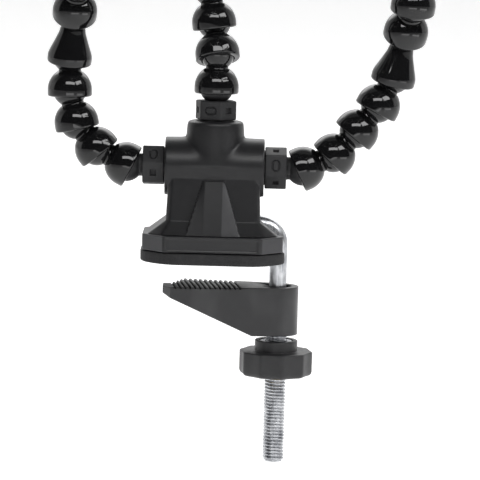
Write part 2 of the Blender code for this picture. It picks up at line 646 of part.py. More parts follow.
def teeth(height, depth):
    """A saw line from the jaw's tip back towards the pin."""
    line = []
    for tooth in range(TOOTH_COUNT):
        here = CLIP_REACH - tooth * TOOTH_PITCH
        line += [(here, height), (here - TOOTH_PITCH / 2.0, height + depth)]
    return line + [(CLIP_REACH - TOOTH_COUNT * TOOTH_PITCH, height)]


def make_clip(prefix, holder, frame, metal, steel):
    """A fixed jaw on a tail, a sprung jaw between its ears, the pin and the spring."""
    place = frame @ Matrix.Translation((0.0, 0.0, CLIP_PIVOT))
    half = CLIP_WIDTH / 2.0
    ear = PIN_RADIUS + 2.2 * SHEET
    tail_end = TIP_LENGTH + SEAT_GAP - CLIP_PIVOT
    shoulder = tail_end + 2.0 * MM
    fixed = prism(prefix + "_clip_fixed_jaw", [
        (shoulder, -TAIL_RADIUS), (shoulder + SHEET, -CLIP_DEPTH), (CLIP_REACH * 0.66, -CLIP_DEPTH),
        (CLIP_REACH, -CLIP_DEPTH * 0.5)] + teeth(-SHEET / 4.0, -TOOTH_DEPTH)
        + [(ear + SHEET, ear), (-ear, ear), (-ear - SHEET, 0.0), (shoulder, TAIL_RADIUS * 0.5)],
        -half, half, CLIP_UPRIGHT)
    inner = half - SHEET
    cut(fixed, prism("channel", [
        (shoulder + SHEET, -CLIP_DEPTH + SHEET), (CLIP_REACH * 0.66, -CLIP_DEPTH + SHEET),
        (CLIP_REACH - SHEET, -CLIP_DEPTH * 0.5 + SHEET * 0.8), (CLIP_REACH - SHEET, 2 * ear),
        (shoulder + SHEET, 2 * ear)], -inner, inner, CLIP_UPRIGHT))
    joined(fixed, rod("tail", TAIL_RADIUS, tail_end - TIP_BORE_DEPTH, shoulder + SHEET / 2.0, 10))
    cut(fixed, rod("pin_hole", PIN_RADIUS + RUNNING_GAP, -CLIP_WIDTH, CLIP_WIDTH, 12, ALONG_X))
    finished(fixed, metal, place, holder)

    slim = inner - SEAT_GAP
    lever_back = -13.5 * MM
    lever_top = 12.5 * MM
    moving = prism(prefix + "_clip_moving_jaw", [
        (lever_back, lever_top), (lever_back - SHEET * 0.4, lever_top - SHEET),
        (-ear * 1.1, SHEET), (-ear * 0.6, -ear * 0.55),
        (ear * 0.6, -ear * 0.55), (CLIP_REACH - TOOTH_COUNT * TOOTH_PITCH, SHEET / 4.0)]
        + teeth(SHEET / 4.0, TOOTH_DEPTH)[-2::-1]
        + [(CLIP_REACH, CLIP_DEPTH * 0.5), (CLIP_REACH * 0.66, CLIP_DEPTH), (ear, CLIP_DEPTH * 1.1),
           (-ear, CLIP_DEPTH * 1.2)], -slim, slim, CLIP_UPRIGHT)
    hollow = slim - SHEET
    cut(moving, prism("channel", [
        (-ear * 1.4, -2 * ear), (CLIP_REACH - SHEET, -2 * ear),
        (CLIP_REACH - SHEET, CLIP_DEPTH * 0.5 - SHEET * 0.8),
        (CLIP_REACH * 0.66, CLIP_DEPTH - SHEET), (-ear * 1.0, CLIP_DEPTH * 1.1 - SHEET)],
        -hollow, hollow, CLIP_UPRIGHT))
    cut(moving, rod("pin_hole", PIN_RADIUS + RUNNING_GAP, -CLIP_WIDTH, CLIP_WIDTH, 12, ALONG_X))
    finished(moving, metal, place, fixed)

    head = SHEET * 0.6
    reach = half + SEAT_GAP
    head_radius = PIN_RADIUS * 1.6
    pin = turned(prefix + "_clip_pin", [
        (0.0, -reach - head), (head_radius, -reach - head), (head_radius, -reach), (PIN_RADIUS, -reach),
        (PIN_RADIUS, reach), (head_radius, reach), (head_radius, reach + head), (0.0, reach + head)],
        12, ALONG_X)
    finished(pin, steel, place, fixed)

    steps = 8
    count = round(SPRING_TURNS * steps)
    coil = []
    for step in range(count + 1):
        angle = 2.0 * math.pi * step / steps
        coil.append(Vector((SPRING_LENGTH * (step / count - 0.5), SPRING_RADIUS * math.cos(angle),
                            SPRING_RADIUS * math.sin(angle))))
    spring = swept(prefix + "_clip_spring", coil, [SPRING_WIRE] * len(coil), 5)
    finished(spring, steel, place, fixed)


def make_lens_holder(finish):
    """A socket bell that ends in a fork round the ring's tab."""
    inside = socket_profile(TIP_LENGTH)
    stem_top = TIP_LENGTH - 3.0 * MM
    slot = TAB_HALF_WIDTH + SEAT_GAP
    wall = slot + FORK_WALL
    profile = bell_profile(NECK_RADIUS, stem_top - 3.0 * MM) + [(NECK_RADIUS, stem_top), (0.0, stem_top)]
    cavity = [(0.0, inside[1][1])] + inside[1:] \
        + [(inside[-1][0], -RIM_DROP - CUT_PAST), (0.0, -RIM_DROP - CUT_PAST)]

    def place_holder(name, frame, parent):
        body = turned(name, [(0.0, profile[0][1])] + profile, LINK_SIDES)
        joined(body, box("fork", (-wall, -FORK_HALF_HEIGHT, stem_top - 2.0 * MM),
                         (wall, FORK_HALF_HEIGHT, TILT_PIVOT + FORK_HALF_HEIGHT)))
        cut(body, turned("cavity", cavity, LINK_SIDES),
            box("fork_slot", (-slot, -2 * FORK_HALF_HEIGHT, TILT_PIVOT - TAB_HALF_HEIGHT - 2.4 * MM),
                (slot, 2 * FORK_HALF_HEIGHT, TILT_PIVOT + 2 * FORK_HALF_HEIGHT)),
            rod("screw_hole", TILT_SCREW_RADIUS + RUNNING_GAP, -2 * wall, 2 * wall, 12,
                Matrix.Translation((0.0, 0.0, TILT_PIVOT)) @ ALONG_X))
        return finished(body, finish, frame, parent)

    return place_holder


def make_magnifier(holder, frame, plastic, steel, glass):
    """Ring, lens and retainer that tilt on a thumb screw."""
    place = frame @ Matrix.Translation((0.0, 0.0, TILT_PIVOT))
    centre = Matrix.Translation((0.0, 0.0, PIVOT_TO_RING + RING_RADIUS)) @ ALONG_Y
    half = RING_HEIGHT / 2.0
    seat = -half + LIP_HEIGHT
    ring = turned("lens_ring", [(RING_LIP, -half), (RING_RADIUS - SHEET, -half), (RING_RADIUS, -half + SHEET),
                                (RING_RADIUS, half - SHEET), (RING_RADIUS - SHEET, half), (RING_BORE, half),
                                (RING_BORE, seat), (RING_LIP, seat)], 36, centre)
    tab_end = PIVOT_TO_RING + (RING_RADIUS - RING_BORE) / 2.0
    tab = box("tab", (-TAB_HALF_WIDTH, -TAB_HALF_HEIGHT, 0.0), (TAB_HALF_WIDTH, TAB_HALF_HEIGHT, tab_end))
    joined(tab, rod("tab_round", TAB_HALF_HEIGHT, -TAB_HALF_WIDTH, TAB_HALF_WIDTH, 16, ALONG_X))
    joined(ring, tab)
    cut(ring, rod("tab_hole", TILT_SCREW_RADIUS + RUNNING_GAP, -2 * TAB_HALF_WIDTH, 2 * TAB_HALF_WIDTH, 12,
                  ALONG_X))
    finished(ring, plastic, place, holder)

    lens_radius = RING_BORE - SEAT_GAP
    lens_low = seat + SEAT_GAP
    lens_middle = lens_low + LENS_EDGE / 2.0
    crown_steps = 3
    upper = []
    for step in range(crown_steps + 1):
        share = 1.0 - step / crown_steps
        radius = lens_radius * share
        rise = LENS_CROWN * (1.0 - share ** 2)
        upper.append((radius, LENS_EDGE / 2.0 + rise))
    bottom = [(radius, -height) for radius, height in reversed(upper)]
    lens = turned("lens", [(radius, lens_middle + height) for radius, height in bottom + upper], 32, centre)
    finished(lens, glass, place, ring)

    keeper_low = lens_low + LENS_EDGE + SEAT_GAP
    keeper = turned("lens_retainer", [(RING_LIP, keeper_low), (RING_BORE - SEAT_GAP, keeper_low),
                                      (RING_BORE - SEAT_GAP, half), (RING_LIP, half)], 32, centre)
    finished(keeper, plastic, place, ring)

    wall = TAB_HALF_WIDTH + SEAT_GAP + FORK_WALL
    head = wall + SEAT_GAP
    screw_end = -wall - NUT_THICKNESS - 2 * SEAT_GAP
    head_end = head + TILT_HEAD_LENGTH
    screw = turned("tilt_screw", [(0.0, screw_end), (TILT_SCREW_RADIUS, screw_end), (TILT_SCREW_RADIUS, head),
                                  (TILT_HEAD_RADIUS, head), (TILT_HEAD_RADIUS, head_end - SHEET),
                                  (TILT_HEAD_RADIUS - SHEET, head_end), (0.0, head_end)], 16, ALONG_X)
    finished(screw, steel, place, holder)
    nut = rod("tilt_nut", NUT_ACROSS_CORNERS / 2.0, -wall - SEAT_GAP - NUT_THICKNESS, -wall - SEAT_GAP, 6,
              ALONG_X)
    cut(nut, rod("nut_bore", TILT_SCREW_RADIUS + RUNNING_GAP, -2 * wall - NUT_THICKNESS, 0.0, 12, ALONG_X))
    finished(nut, steel, place, holder)


def build():
    for old in list(bpy.data.objects):
        bpy.data.objects.remove(old)
    cast = material("charcoal_cast", (0.035, 0.036, 0.039), 0.48)
    moulded = material("charcoal_plastic", (0.032, 0.033, 0.035), 0.42)
    gloss = material("gloss_black_plastic", (0.012, 0.012, 0.013), 0.12)
    fine = material("connector_plastic", (0.03, 0.03, 0.032), 0.55)
    rubber = material("pad_rubber", (0.02, 0.02, 0.021), 0.85)
    zinc = material("bright_zinc", (0.72, 0.73, 0.75), 0.22, 1.0)
    brass = material("brass", (0.72, 0.55, 0.28), 0.3, 1.0)
    nickel = material("nickel_sheet", (0.62, 0.62, 0.61), 0.25, 1.0)
    glass = material("lens_glass", (0.95, 0.97, 0.97), 0.02, 0.0, 0.9)

    make_hub(cast)
    make_base(cast, rubber, zinc)
    make_rod(zinc)
    make_clamp(moulded, zinc, brass)
    for where in HEX_TURNS:
        make_connector(where, fine)
    makers = {"link": (link_maker(link_profile(), gloss), LINK_PITCH),
              "long_link": (link_maker(long_link_profile(), gloss), LONG_LINK_PITCH),
              "clip_holder": (make_clip_holder(gloss), TIP_LENGTH),
              "holder": (make_lens_holder(moulded), TILT_PIVOT)}
    for prefix, side, rows in (("left", -1.0, LEFT_ARM), ("right", 1.0, RIGHT_ARM)):
        holder, frame = make_arm(prefix, side, prefix, rows, makers)
        make_clip(prefix, holder, frame, nickel, zinc)
    holder, frame = make_arm("lens", 1.0, "top", LENS_ARM, makers)
    make_magnifier(holder, frame, moulded, zinc, glass)


build()
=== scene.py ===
import json
import math

import bmesh
import bpy
import numpy as np
from mathutils import Matrix, Vector

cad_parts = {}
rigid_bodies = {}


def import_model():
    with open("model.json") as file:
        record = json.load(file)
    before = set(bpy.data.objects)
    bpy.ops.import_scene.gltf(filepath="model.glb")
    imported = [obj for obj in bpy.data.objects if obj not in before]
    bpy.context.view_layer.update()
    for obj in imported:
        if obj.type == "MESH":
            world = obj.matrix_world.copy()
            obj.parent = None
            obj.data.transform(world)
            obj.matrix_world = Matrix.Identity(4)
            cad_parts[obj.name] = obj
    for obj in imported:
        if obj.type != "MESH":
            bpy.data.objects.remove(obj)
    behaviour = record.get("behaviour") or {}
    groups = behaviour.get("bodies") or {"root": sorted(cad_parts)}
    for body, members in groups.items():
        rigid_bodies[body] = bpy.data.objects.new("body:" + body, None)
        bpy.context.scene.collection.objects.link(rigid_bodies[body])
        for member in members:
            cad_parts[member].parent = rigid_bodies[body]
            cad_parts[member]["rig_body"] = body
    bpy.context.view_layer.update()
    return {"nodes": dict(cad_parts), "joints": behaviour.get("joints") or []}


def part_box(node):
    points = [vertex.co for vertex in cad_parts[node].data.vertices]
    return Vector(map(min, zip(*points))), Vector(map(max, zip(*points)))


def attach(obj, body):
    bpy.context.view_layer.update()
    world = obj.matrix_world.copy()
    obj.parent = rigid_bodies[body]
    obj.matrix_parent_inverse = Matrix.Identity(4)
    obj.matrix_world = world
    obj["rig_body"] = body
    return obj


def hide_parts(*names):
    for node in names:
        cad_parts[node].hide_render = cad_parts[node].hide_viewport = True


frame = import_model()

mm = 0.001
upright = (0.0, 0.0, 1.0)
jointOf = {joint["child"]: joint for joint in frame["joints"]}

for startUp in ("Cube", "Light", "Camera"):  # what a new file opens with
    if startUp in bpy.data.objects and startUp not in frame["nodes"]:
        bpy.data.objects.remove(bpy.data.objects[startUp])


class Wire:
    # a socket in a material's node tree; arithmetic on it adds Math nodes

    def __init__(self, tree, socket):
        self.tree = tree
        self.socket = socket

    def node(self, kind, settings=None, inputs=None, out=0):
        # any other node: its type, its settings (set first), then its sockets' values or links
        made = self.tree.nodes.new(kind)
        for key, value in (settings or {}).items():
            if key == "stops":
                ramp = made.color_ramp
                while len(ramp.elements) < len(value):
                    ramp.elements.new(0.5)
                for element, (place, shade) in zip(ramp.elements, value):
                    element.position = place
                    element.color = (shade, shade, shade, 1.0)
            else:
                setattr(made, key, value)
        for key, value in (inputs or {}).items():
            if isinstance(value, Wire):
                self.tree.links.new(value.socket, made.inputs[key])
            else:
                made.inputs[key].default_value = value
        return Wire(self.tree, made.outputs[out])

    def maths(self, operation, first, second):
        return self.node("ShaderNodeMath", {"operation": operation}, {0: first, 1: second})

    def __add__(self, other):
        return self.maths("ADD", self, other)

    def __sub__(self, other):
        return self.maths("SUBTRACT", self, other)

    def __rsub__(self, other):
        return self.maths("SUBTRACT", other, self)

    def __mul__(self, other):
        return self.maths("MULTIPLY", self, other)

    __radd__ = __add__
    __rmul__ = __mul__


def newFinish(name):
    # a Principled material, and a wire on its Object coordinates
    made = bpy.data.materials.new(name)
    made.use_nodes = True
    tree = made.node_tree
    shader = tree.nodes["Principled BSDF"]
    coords = tree.nodes.new("ShaderNodeTexCoord")
    return made, shader, Wire(tree, coords.outputs["Object"]), Wire(tree, coords.outputs["UV"])


def plug(shader, socket, wire):
    wire.tree.links.new(wire.socket, shader.inputs[socket])


def noise(place, scale, detail=3.0, rough=0.55):
    return place.node("ShaderNodeTexNoise", None,
                      {"Vector": place, "Scale": scale, "Detail": detail, "Roughness": rough})


def tint(wire, dark, light):
    # colour between two shades, plain or wired, by a 0-1 wire; output 2 of a colour Mix is its result
    first = dark if isinstance(dark, Wire) else (*dark, 1.0)
    return wire.node("ShaderNodeMix", {"data_type": "RGBA"}, {0: wire, 6: first, 7: (*light, 1.0)}, 2)


def stretch(place, scale, turn=(0.0, 0.0, 0.0)):
    return place.node("ShaderNodeMapping", None, {"Vector": place, "Scale": scale, "Rotation": turn})


def bump(shader, height, distance, strength=1.0):
    plug(shader, "Normal", height.node("ShaderNodeBump", None,
                                       {"Height": height, "Distance": distance, "Strength": strength}))


def axisOf(place, axis):
    # one coordinate of a vector wire
    return place.node("ShaderNodeSeparateXYZ", None, {0: place}, axis)


def ramp(wire, low, high, lowShade=0.0, highShade=1.0):
    return wire.node("ShaderNodeValToRGB", {"stops": [(low, lowShade), (high, highShade)]}, {0: wire})


glossPlastic = {"dark": (0.0035, 0.0035, 0.004), "light": (0.007, 0.007, 0.0075), "polish": 0.05,
                "smudge": 0.06, "hairs": 0.12, "seamWidth": 0.006, "ior": 1.52}


def makeGlossFinish():
    # injection-moulded black: near-mirror polish, faint sink ripple, handling smudges, fine hairlines
    made, shader, place, uv = newFinish("glossBlackPlastic")
    smudge = ramp(noise(place, 140.0, 4.0), 0.42, 0.75)
    hairs = ramp(noise(stretch(place, (900.0, 900.0, 60.0), (0.6, 0.4, 0.0)), 1.0, 2.0), 0.66, 0.74)
    plug(shader, "Base Color", tint(noise(place, 300.0), glossPlastic["dark"], glossPlastic["light"]))
    plug(shader, "Roughness", smudge * glossPlastic["smudge"] + hairs * glossPlastic["hairs"]
         + glossPlastic["polish"])
    around = axisOf(uv, 0)
    seam = around.maths("PINGPONG", around, 0.5)
    seamLine = ramp(seam, 0.0, glossPlastic["seamWidth"], 1.0, 0.0)  # the moulds' parting line
    bump(shader, noise(place, 55.0, 1.0) * 0.8 + seamLine * 0.25, 0.00005, 0.30)
    shader.inputs["IOR"].default_value = glossPlastic["ior"]
    return made


castCharcoal = {"dark": (0.010, 0.010, 0.011), "light": (0.017, 0.017, 0.0182), "specular": 0.36}


def makeCastFinish(name, look, roughness, grain, depth):
    # tumbled casting or grained moulding: mottled tone, fine grain, rubbed patches a little smoother
    made, shader, place, uv = newFinish(name)
    mottle = noise(place, 260.0, 4.0)
    rubbed = ramp(noise(place, 60.0, 2.0), 0.45, 0.7)
    grains = noise(place, grain, 3.0, 0.7)
    plug(shader, "Base Color", tint(mottle, look["dark"], look["light"]))
    plug(shader, "Roughness", grains * 0.16 - rubbed * 0.06 + roughness)
    bump(shader, grains, depth, 0.5)
    shader.inputs["Specular IOR Level"].default_value = look["specular"]
    return made


# the near-black colour is painted shade in the grooves; the pale colour serves the painted highlight on the
# ridge tops and the flow marks
jawCharcoal = {"dark": (0.015, 0.015, 0.016), "light": (0.024, 0.024, 0.0255),
               "pale": (0.075, 0.075, 0.078), "grooveShade": (0.0010, 0.0010, 0.0012), "topStart": 0.168,
               "topEnd": 0.642, "levelScale": 500.0, "levelShift": 5.3}


def makeJawFinish():
    # grained moulding: painted shade makes the grooves of the gripping face near black, a painted highlight
    # lightens its ridges, cloudy flow marks on the flanks; u tells the gripping face from the flanks, height
    # the grooves from the ridges
    made, shader, place, uv = newFinish("jawCharcoal")
    around = axisOf(uv, 0)
    onTop = (ramp(around, jawCharcoal["topStart"] - 0.004, jawCharcoal["topStart"])
             * ramp(around, jawCharcoal["topEnd"], jawCharcoal["topEnd"] + 0.004, 1.0, 0.0))
    level = axisOf(place, 2) * jawCharcoal["levelScale"] + jawCharcoal["levelShift"]
    flow = ramp(noise(stretch(place, (70.0, 40.0, 34.0), (0.0, 0.6, 0.0)), 1.0, 2.0), 0.44, 0.66)
    # painted highlight on the ridge tops of the gripping face
    ridgeSheen = ramp(level, 0.60, 0.69) * onTop
    # painted shade in the grooves of the gripping face
    groove = ramp(level, 0.42, 0.58, 1.0, 0.0) * onTop
    base = tint(noise(place, 260.0, 4.0), jawCharcoal["dark"], jawCharcoal["light"])
    base = tint(ridgeSheen * 0.30 + flow * 0.32, base, jawCharcoal["pale"])
    # the grooves take the near-black painted shade
    plug(shader, "Base Color", tint(groove, base, jawCharcoal["grooveShade"]))
    grains = noise(place, 1700.0, 3.0, 0.7)
    plug(shader, "Roughness", grains * 0.16 - flow * 0.10 + groove * 0.4 + 0.36)
    bump(shader, grains, 0.00003, 0.5)
    return made


# the dark panel colour is painted shade on the plate's front face
plateCharcoal = {"dark": (0.030, 0.030, 0.033), "light": (0.046, 0.046, 0.050), "specular": 0.45,
                 "panelShade": (0.010, 0.010, 0.011), "panelFace": 18.0 * mm, "panelScale": 50.0}
mouldedCharcoal = {"dark": (0.014, 0.014, 0.015), "light": (0.023, 0.023, 0.0245), "specular": 0.45}
connectorBlack = {"dark": (0.012, 0.012, 0.013), "light": (0.024, 0.024, 0.0255), "specular": 0.40}
# the pale colour and the place of a painted highlight on the right cheek of the hub's front rib
hubCheekHighlight = {"pale": (0.070, 0.070, 0.074), "sideways": 50.0, "upwards": 20.0, "face": 3.15 * mm,
             "lean": 0.311, "foot": 13.5 * mm, "top": 30.4 * mm, "front": 9.0 * mm}


def reopened(made):
    # a finish taken up again: its shader, the wire of its colour and its Object coordinates
    shader = made.node_tree.nodes["Principled BSDF"]
    base = Wire(made.node_tree, shader.inputs["Base Color"].links[0].from_socket)
    return shader, base, base.node("ShaderNodeTexCoord", None, None, 3)


def makeHubFinish():
    # the cast finish, with a painted highlight lightening the right cheek of the front rib: the cheek lies
    # right of the rib's face, inside the leaning line sideways + lean x height = foot, below the rib's top
    made = makeCastFinish("hubCharcoal", castCharcoal, 0.30, 2600.0, 0.00003)
    shader, base, coords = reopened(made)
    scale, rise = hubCheekHighlight["sideways"], hubCheekHighlight["upwards"]
    x, y, z = axisOf(coords, 0) * scale, axisOf(coords, 1) * (-scale), axisOf(coords, 2) * rise
    lean = hubCheekHighlight["lean"] * scale / rise
    face, foot, top = hubCheekHighlight["face"] * scale, hubCheekHighlight["foot"] * scale, hubCheekHighlight["top"] * rise
    front = hubCheekHighlight["front"] * scale
    cheek = (ramp(x, face, face + 0.012) * ramp(x + z * lean, foot - 0.012, foot + 0.004, 1.0, 0.0)
             * ramp(z, top - 0.012, top, 1.0, 0.0) * ramp(y, front - 0.02, front))
    # painted highlight: noise varies how pale the cheek is tinted
    highlightMottle = noise(coords, 120.0, 2.0) * 0.5 + 0.25
    plug(shader, "Base Color", tint(cheek * highlightMottle, base, hubCheekHighlight["pale"]))
    return made


def makePlateFinish():
    # the moulded finish, with painted shade darkening the panel of the front face
    made = makeCastFinish("plateCharcoal", plateCharcoal, 0.34, 1500.0, 0.00003)
    shader, base, coords = reopened(made)
    scale = plateCharcoal["panelScale"]
    face = plateCharcoal["panelFace"] * scale
    # painted shade: the mask of the front face that is tinted darker
    panelShade = ramp(axisOf(coords, 1) * (-scale), face, face + 0.012)
    plug(shader, "Base Color", tint(panelShade * 0.9, base, plateCharcoal["panelShade"]))
    return made


padRubber = {"dark": (0.010, 0.010, 0.011), "light": (0.030, 0.030, 0.031)}


def makeRubberFinish():
    # closed-cell pad: tiny cells, dusty highs
    made, shader, place, uv = newFinish("padRubber")
    cells = place.node("ShaderNodeTexVoronoi", {"feature": "F1"}, {"Vector": place, "Scale": 1900.0})
    dust = ramp(noise(place, 420.0, 5.0, 0.7), 0.5, 0.8)
    plug(shader, "Base Color", tint(dust, padRubber["dark"], padRubber["light"]))
    plug(shader, "Roughness", dust * 0.15 + 0.72)
    bump(shader, cells + noise(place, 700.0), 0.00012, 0.7)
    return made


brightZinc = {"dark": (0.27, 0.28, 0.30), "light": (0.66, 0.67, 0.69)}


def makeMetalFinish(name, look, roughness, lines, depth):
    # plated metal: drawn lines, cloudy plating, a few dull spots
    made, shader, place, uv = newFinish(name)
    drawn = noise(stretch(place, lines), 1.0, 3.0, 0.7)
    cloud = noise(place, 180.0, 4.0)
    tone = ramp(cloud * 0.5 + drawn * 0.5, 0.38, 0.58)
    plug(shader, "Base Color", tint(tone, look["dark"], look["light"]))
    plug(shader, "Roughness", drawn * 0.14 + ramp(cloud, 0.55, 0.8) * 0.08 + roughness)
    shader.inputs["Metallic"].default_value = 1.0
    bump(shader, drawn, depth, 0.35)
    return made


nickelSheet = {"dark": (0.48, 0.47, 0.45), "light": (0.72, 0.71, 0.68)}
turnedBrass = {"dark": (0.55, 0.40, 0.18), "light": (0.80, 0.62, 0.34)}


def makeGlassFinish():
    # ground lens: clear, with a breath of dust in its roughness
    made, shader, place, uv = newFinish("lensGlass")
    dust = ramp(noise(place, 500.0, 4.0), 0.62, 0.85)
    plug(shader, "Base Color", tint(dust, (0.97, 0.99, 0.98), (0.90, 0.92, 0.91)))
    plug(shader, "Roughness", dust * 0.05 + 0.005)
    shader.inputs["Transmission Weight"].default_value = 1.0
    shader.inputs["IOR"].default_value = 1.5
    return made


glossBlack = makeGlossFinish()
hubFinish = makeHubFinish()
mouldedBlack = makeCastFinish("mouldedCharcoal", mouldedCharcoal, 0.36, 1700.0, 0.00003)
jawFinish = makeJawFinish()
plateFinish = makePlateFinish()
connectorFinish = makeCastFinish("connectorBlack", connectorBlack, 0.50, 4200.0, 0.00005)
rubberBlack = makeRubberFinish()
zincFinish = makeMetalFinish("brightZinc", brightZinc, 0.24, (1500.0, 1500.0, 130.0), 0.00003)
nickelFinish = makeMetalFinish("nickelSheet", nickelSheet, 0.16, (900.0, 120.0, 900.0), 0.00002)
brassFinish = makeMetalFinish("turnedBrass", turnedBrass, 0.22, (700.0, 700.0, 2400.0), 0.00002)
glassFinish = makeGlassFinish()
print("finishes made:", len(bpy.data.materials))


def gridFaces(rows, columns, closedRows=False):
    # quads of a rows x columns grid whose columns wrap; outward when rows run up the outside
    row = np.arange(rows if closedRows else rows - 1)[:, None]
    column = np.arange(columns)[None, :]
    above = (row + 1) % rows
    beside = (column + 1) % columns
    return np.stack([row * columns + column, row * columns + beside,
                     above * columns + beside, above * columns + column], -1).reshape(-1, 4)


def tubeCaps(rows, columns):
    # the n-gons that close a grid's first and last rows
    return range(columns - 1, -1, -1), range((rows - 1) * columns, rows * columns)


def gridUv(rows, columns, closedRows=False):
    # u round the piece, v along its profile, one pair per quad corner
    count = rows if closedRows else rows - 1
    row, column = np.meshgrid(np.arange(count), np.arange(columns), indexing="ij")
    u = np.stack([column, column + 1, column + 1, column], -1) / columns
    v = np.stack([row, row, row + 1, row + 1], -1) / count
    return np.stack([u, v], -1).reshape(-1, 2)


def shadeSoft(mesh, sharpDegrees):
    mesh.shade_smooth()
    mesh.set_sharp_from_angle(angle=math.radians(sharpDegrees))


def linked(name, data):
    # a new object at the origin, in the scene
    made = bpy.data.objects.new(name, data)
    bpy.context.scene.collection.objects.link(made)
    return made


def addPiece(name, points, faces, finish, body, nodes, uv=None, caps=(), sharpDegrees=40.0):
    # numpy points and quads (and n-gon caps) into a closed, smooth-shaded piece
    mesh = bpy.data.meshes.new(name)
    mesh.from_pydata(points.reshape(-1, 3).tolist(), [], faces.tolist() + [list(cap) for cap in caps])
    if uv is not None:
        layer = mesh.uv_layers.new(name="surface")
        flat = np.zeros((len(mesh.loops), 2), np.float32)
        flat[:len(uv)] = uv
        layer.data.foreach_set("uv", flat.ravel())
    work = bmesh.new()
    work.from_mesh(mesh)
    bmesh.ops.remove_doubles(work, verts=work.verts, dist=1e-7)
    bmesh.ops.recalc_face_normals(work, faces=work.faces)
    work.to_mesh(mesh)
    work.free()
    shadeSoft(mesh, sharpDegrees)
    mesh.materials.append(finish)
    piece = linked(name, mesh)
    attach(piece, body)
    if nodes:
        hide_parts(*nodes)
    return piece


def arcPoints(radius, start, end, steps, height=0.0):
    # (r, z) points of a circle's arc centred on the axis, angles in degrees above the horizontal
    angle = np.radians(np.linspace(start, end, steps + 1))
    return np.stack([radius * np.cos(angle), height + radius * np.sin(angle)], -1)


def rounded(corners, radii, steps=5, closed=True):
    # a polyline whose corners are replaced by quadratic arcs reaching radius along each side
    corners = np.asarray(corners, float)
    out = []
    count = len(corners)
    for here in range(count):
        if not closed and here in (0, count - 1):
            out.append(corners[here][None])
            continue
        corner = corners[here]
        before = corners[here - 1] - corner
        after = corners[(here + 1) % count] - corner
        reach = radii if np.isscalar(radii) else radii[here]
        reachIn = min(reach, np.linalg.norm(before) * 0.49)
        reachOut = min(reach, np.linalg.norm(after) * 0.49)
        start = corner + before / max(np.linalg.norm(before), 1e-12) * reachIn
        end = corner + after / max(np.linalg.norm(after), 1e-12) * reachOut
        t = np.linspace(0.0, 1.0, steps + 1)[:, None]
        out.append((1 - t) ** 2 * start + 2 * t * (1 - t) * corner + t ** 2 * end)
    return np.concatenate(out)


def turnProfile(profile, sides, swell=None):
    # revolve (r, z) points about Z; swell(angle, r, z) returns a new radius where the piece isn't round
    angle = np.linspace(0.0, 2.0 * math.pi, sides, endpoint=False)[None, :]
    radius = np.repeat(profile[:, :1], sides, 1)
    height = np.repeat(profile[:, 1:2], sides, 1)
    if swell is not None:
        radius = swell(angle, radius, height)
    return np.stack([radius * np.cos(angle), radius * np.sin(angle), height], -1)


def placed(points, origin, along, across=None):
    # local Z goes along, local X goes across
    along = np.asarray(along, float) / np.linalg.norm(along)
    across = np.asarray(across if across is not None else (0.0, 1.0, 0.0), float)
    across = across - along * (across @ along)
    across /= np.linalg.norm(across)
    return points @ np.stack([across, np.cross(along, across), along]) + np.asarray(origin)


def turnedPiece(name, profile, sides, origin, along, finish, body, nodes, closed=True, swell=None,
                across=None, sharpDegrees=40.0):
    points = placed(turnProfile(np.asarray(profile), sides, swell), origin, along, across)
    rows = len(profile)
    return addPiece(name, points, gridFaces(rows, sides, closed), finish, body, nodes,
                    gridUv(rows, sides, closed), (), sharpDegrees)


def smoothStep(value, low, high):
    t = np.clip((value - low) / (high - low), 0.0, 1.0)
    return t * t * (3.0 - 2.0 * t)


def smoothMax(first, second, blend):
    return 0.5 * (first + second + np.sqrt((first - second) ** 2 + blend ** 2))


def smoothMin(first, second, blend):
    return 0.5 * (first + second - np.sqrt((first - second) ** 2 + blend ** 2))


link = {"ball": 6.35 * mm, "dome": 8.3 * mm, "rim": 2.4 * mm, "neck": 4.2 * mm, "bore": 3.0 * mm,
        "socket": 6.62 * mm, "longNeck": 4.9 * mm, "rimRound": 0.9 * mm, "shoulder": 0.9 * mm,
        "sides": 84}


def ballCurve(height):
    # from the neck over the ball to its bore's rim, edge rounded off
    low = -math.degrees(math.acos(link["neck"] / link["ball"]))
    high = math.degrees(math.acos((link["bore"] + 0.35 * mm) / link["ball"]))
    curve = arcPoints(link["ball"], low, high, 20, height)
    top = curve[-1][1]
    lip = np.array([(link["bore"] + 0.12 * mm, top + 0.06 * mm), (link["bore"], top - 0.12 * mm)])
    return np.concatenate([curve, lip])


def socketCurve():
    # from the bore down the hollow socket to the rim
    high = math.degrees(math.acos(link["bore"] / link["socket"]))
    low = -math.degrees(math.asin((link["rim"] - 0.3 * mm) / link["socket"]))
    return arcPoints(link["socket"], high, low, 14)


def skirtCurve():
    # flat rim, a rounded outer corner and the upright skirt below the dome
    inner = math.sqrt(link["socket"] ** 2 - link["rim"] ** 2) + 0.12 * mm
    return rounded([(inner, -link["rim"]), (link["dome"], -link["rim"]), (link["dome"], 0.0)],
                   link["rimRound"], 6, False)


def linkProfile(pitch):
    top = math.degrees(math.acos((link["neck"] + 0.5 * mm) / link["dome"]))
    dome = arcPoints(link["dome"], 0.0, top, 18)[1:]
    fillet = np.array([(link["neck"] + 0.12 * mm, dome[-1][1] + 0.10 * mm),
                       (link["neck"], dome[-1][1] + 0.32 * mm)])
    return np.concatenate([skirtCurve(), dome, fillet, ballCurve(pitch), socketCurve()])


def bellCurve(neck, neckHeight):
    # skirt, a soft shoulder, then a nearly straight cone up to the neck
    corners = [(link["dome"], -link["rimRound"]), (link["dome"], link["shoulder"]),
               (neck + (link["dome"] - neck) * 0.43, neckHeight * 0.58), (neck, neckHeight)]
    wall = rounded(corners, [0.0, 2.2 * mm, 2.5 * mm, 0.0], 9, False)
    return np.concatenate([skirtCurve()[:-1], wall])


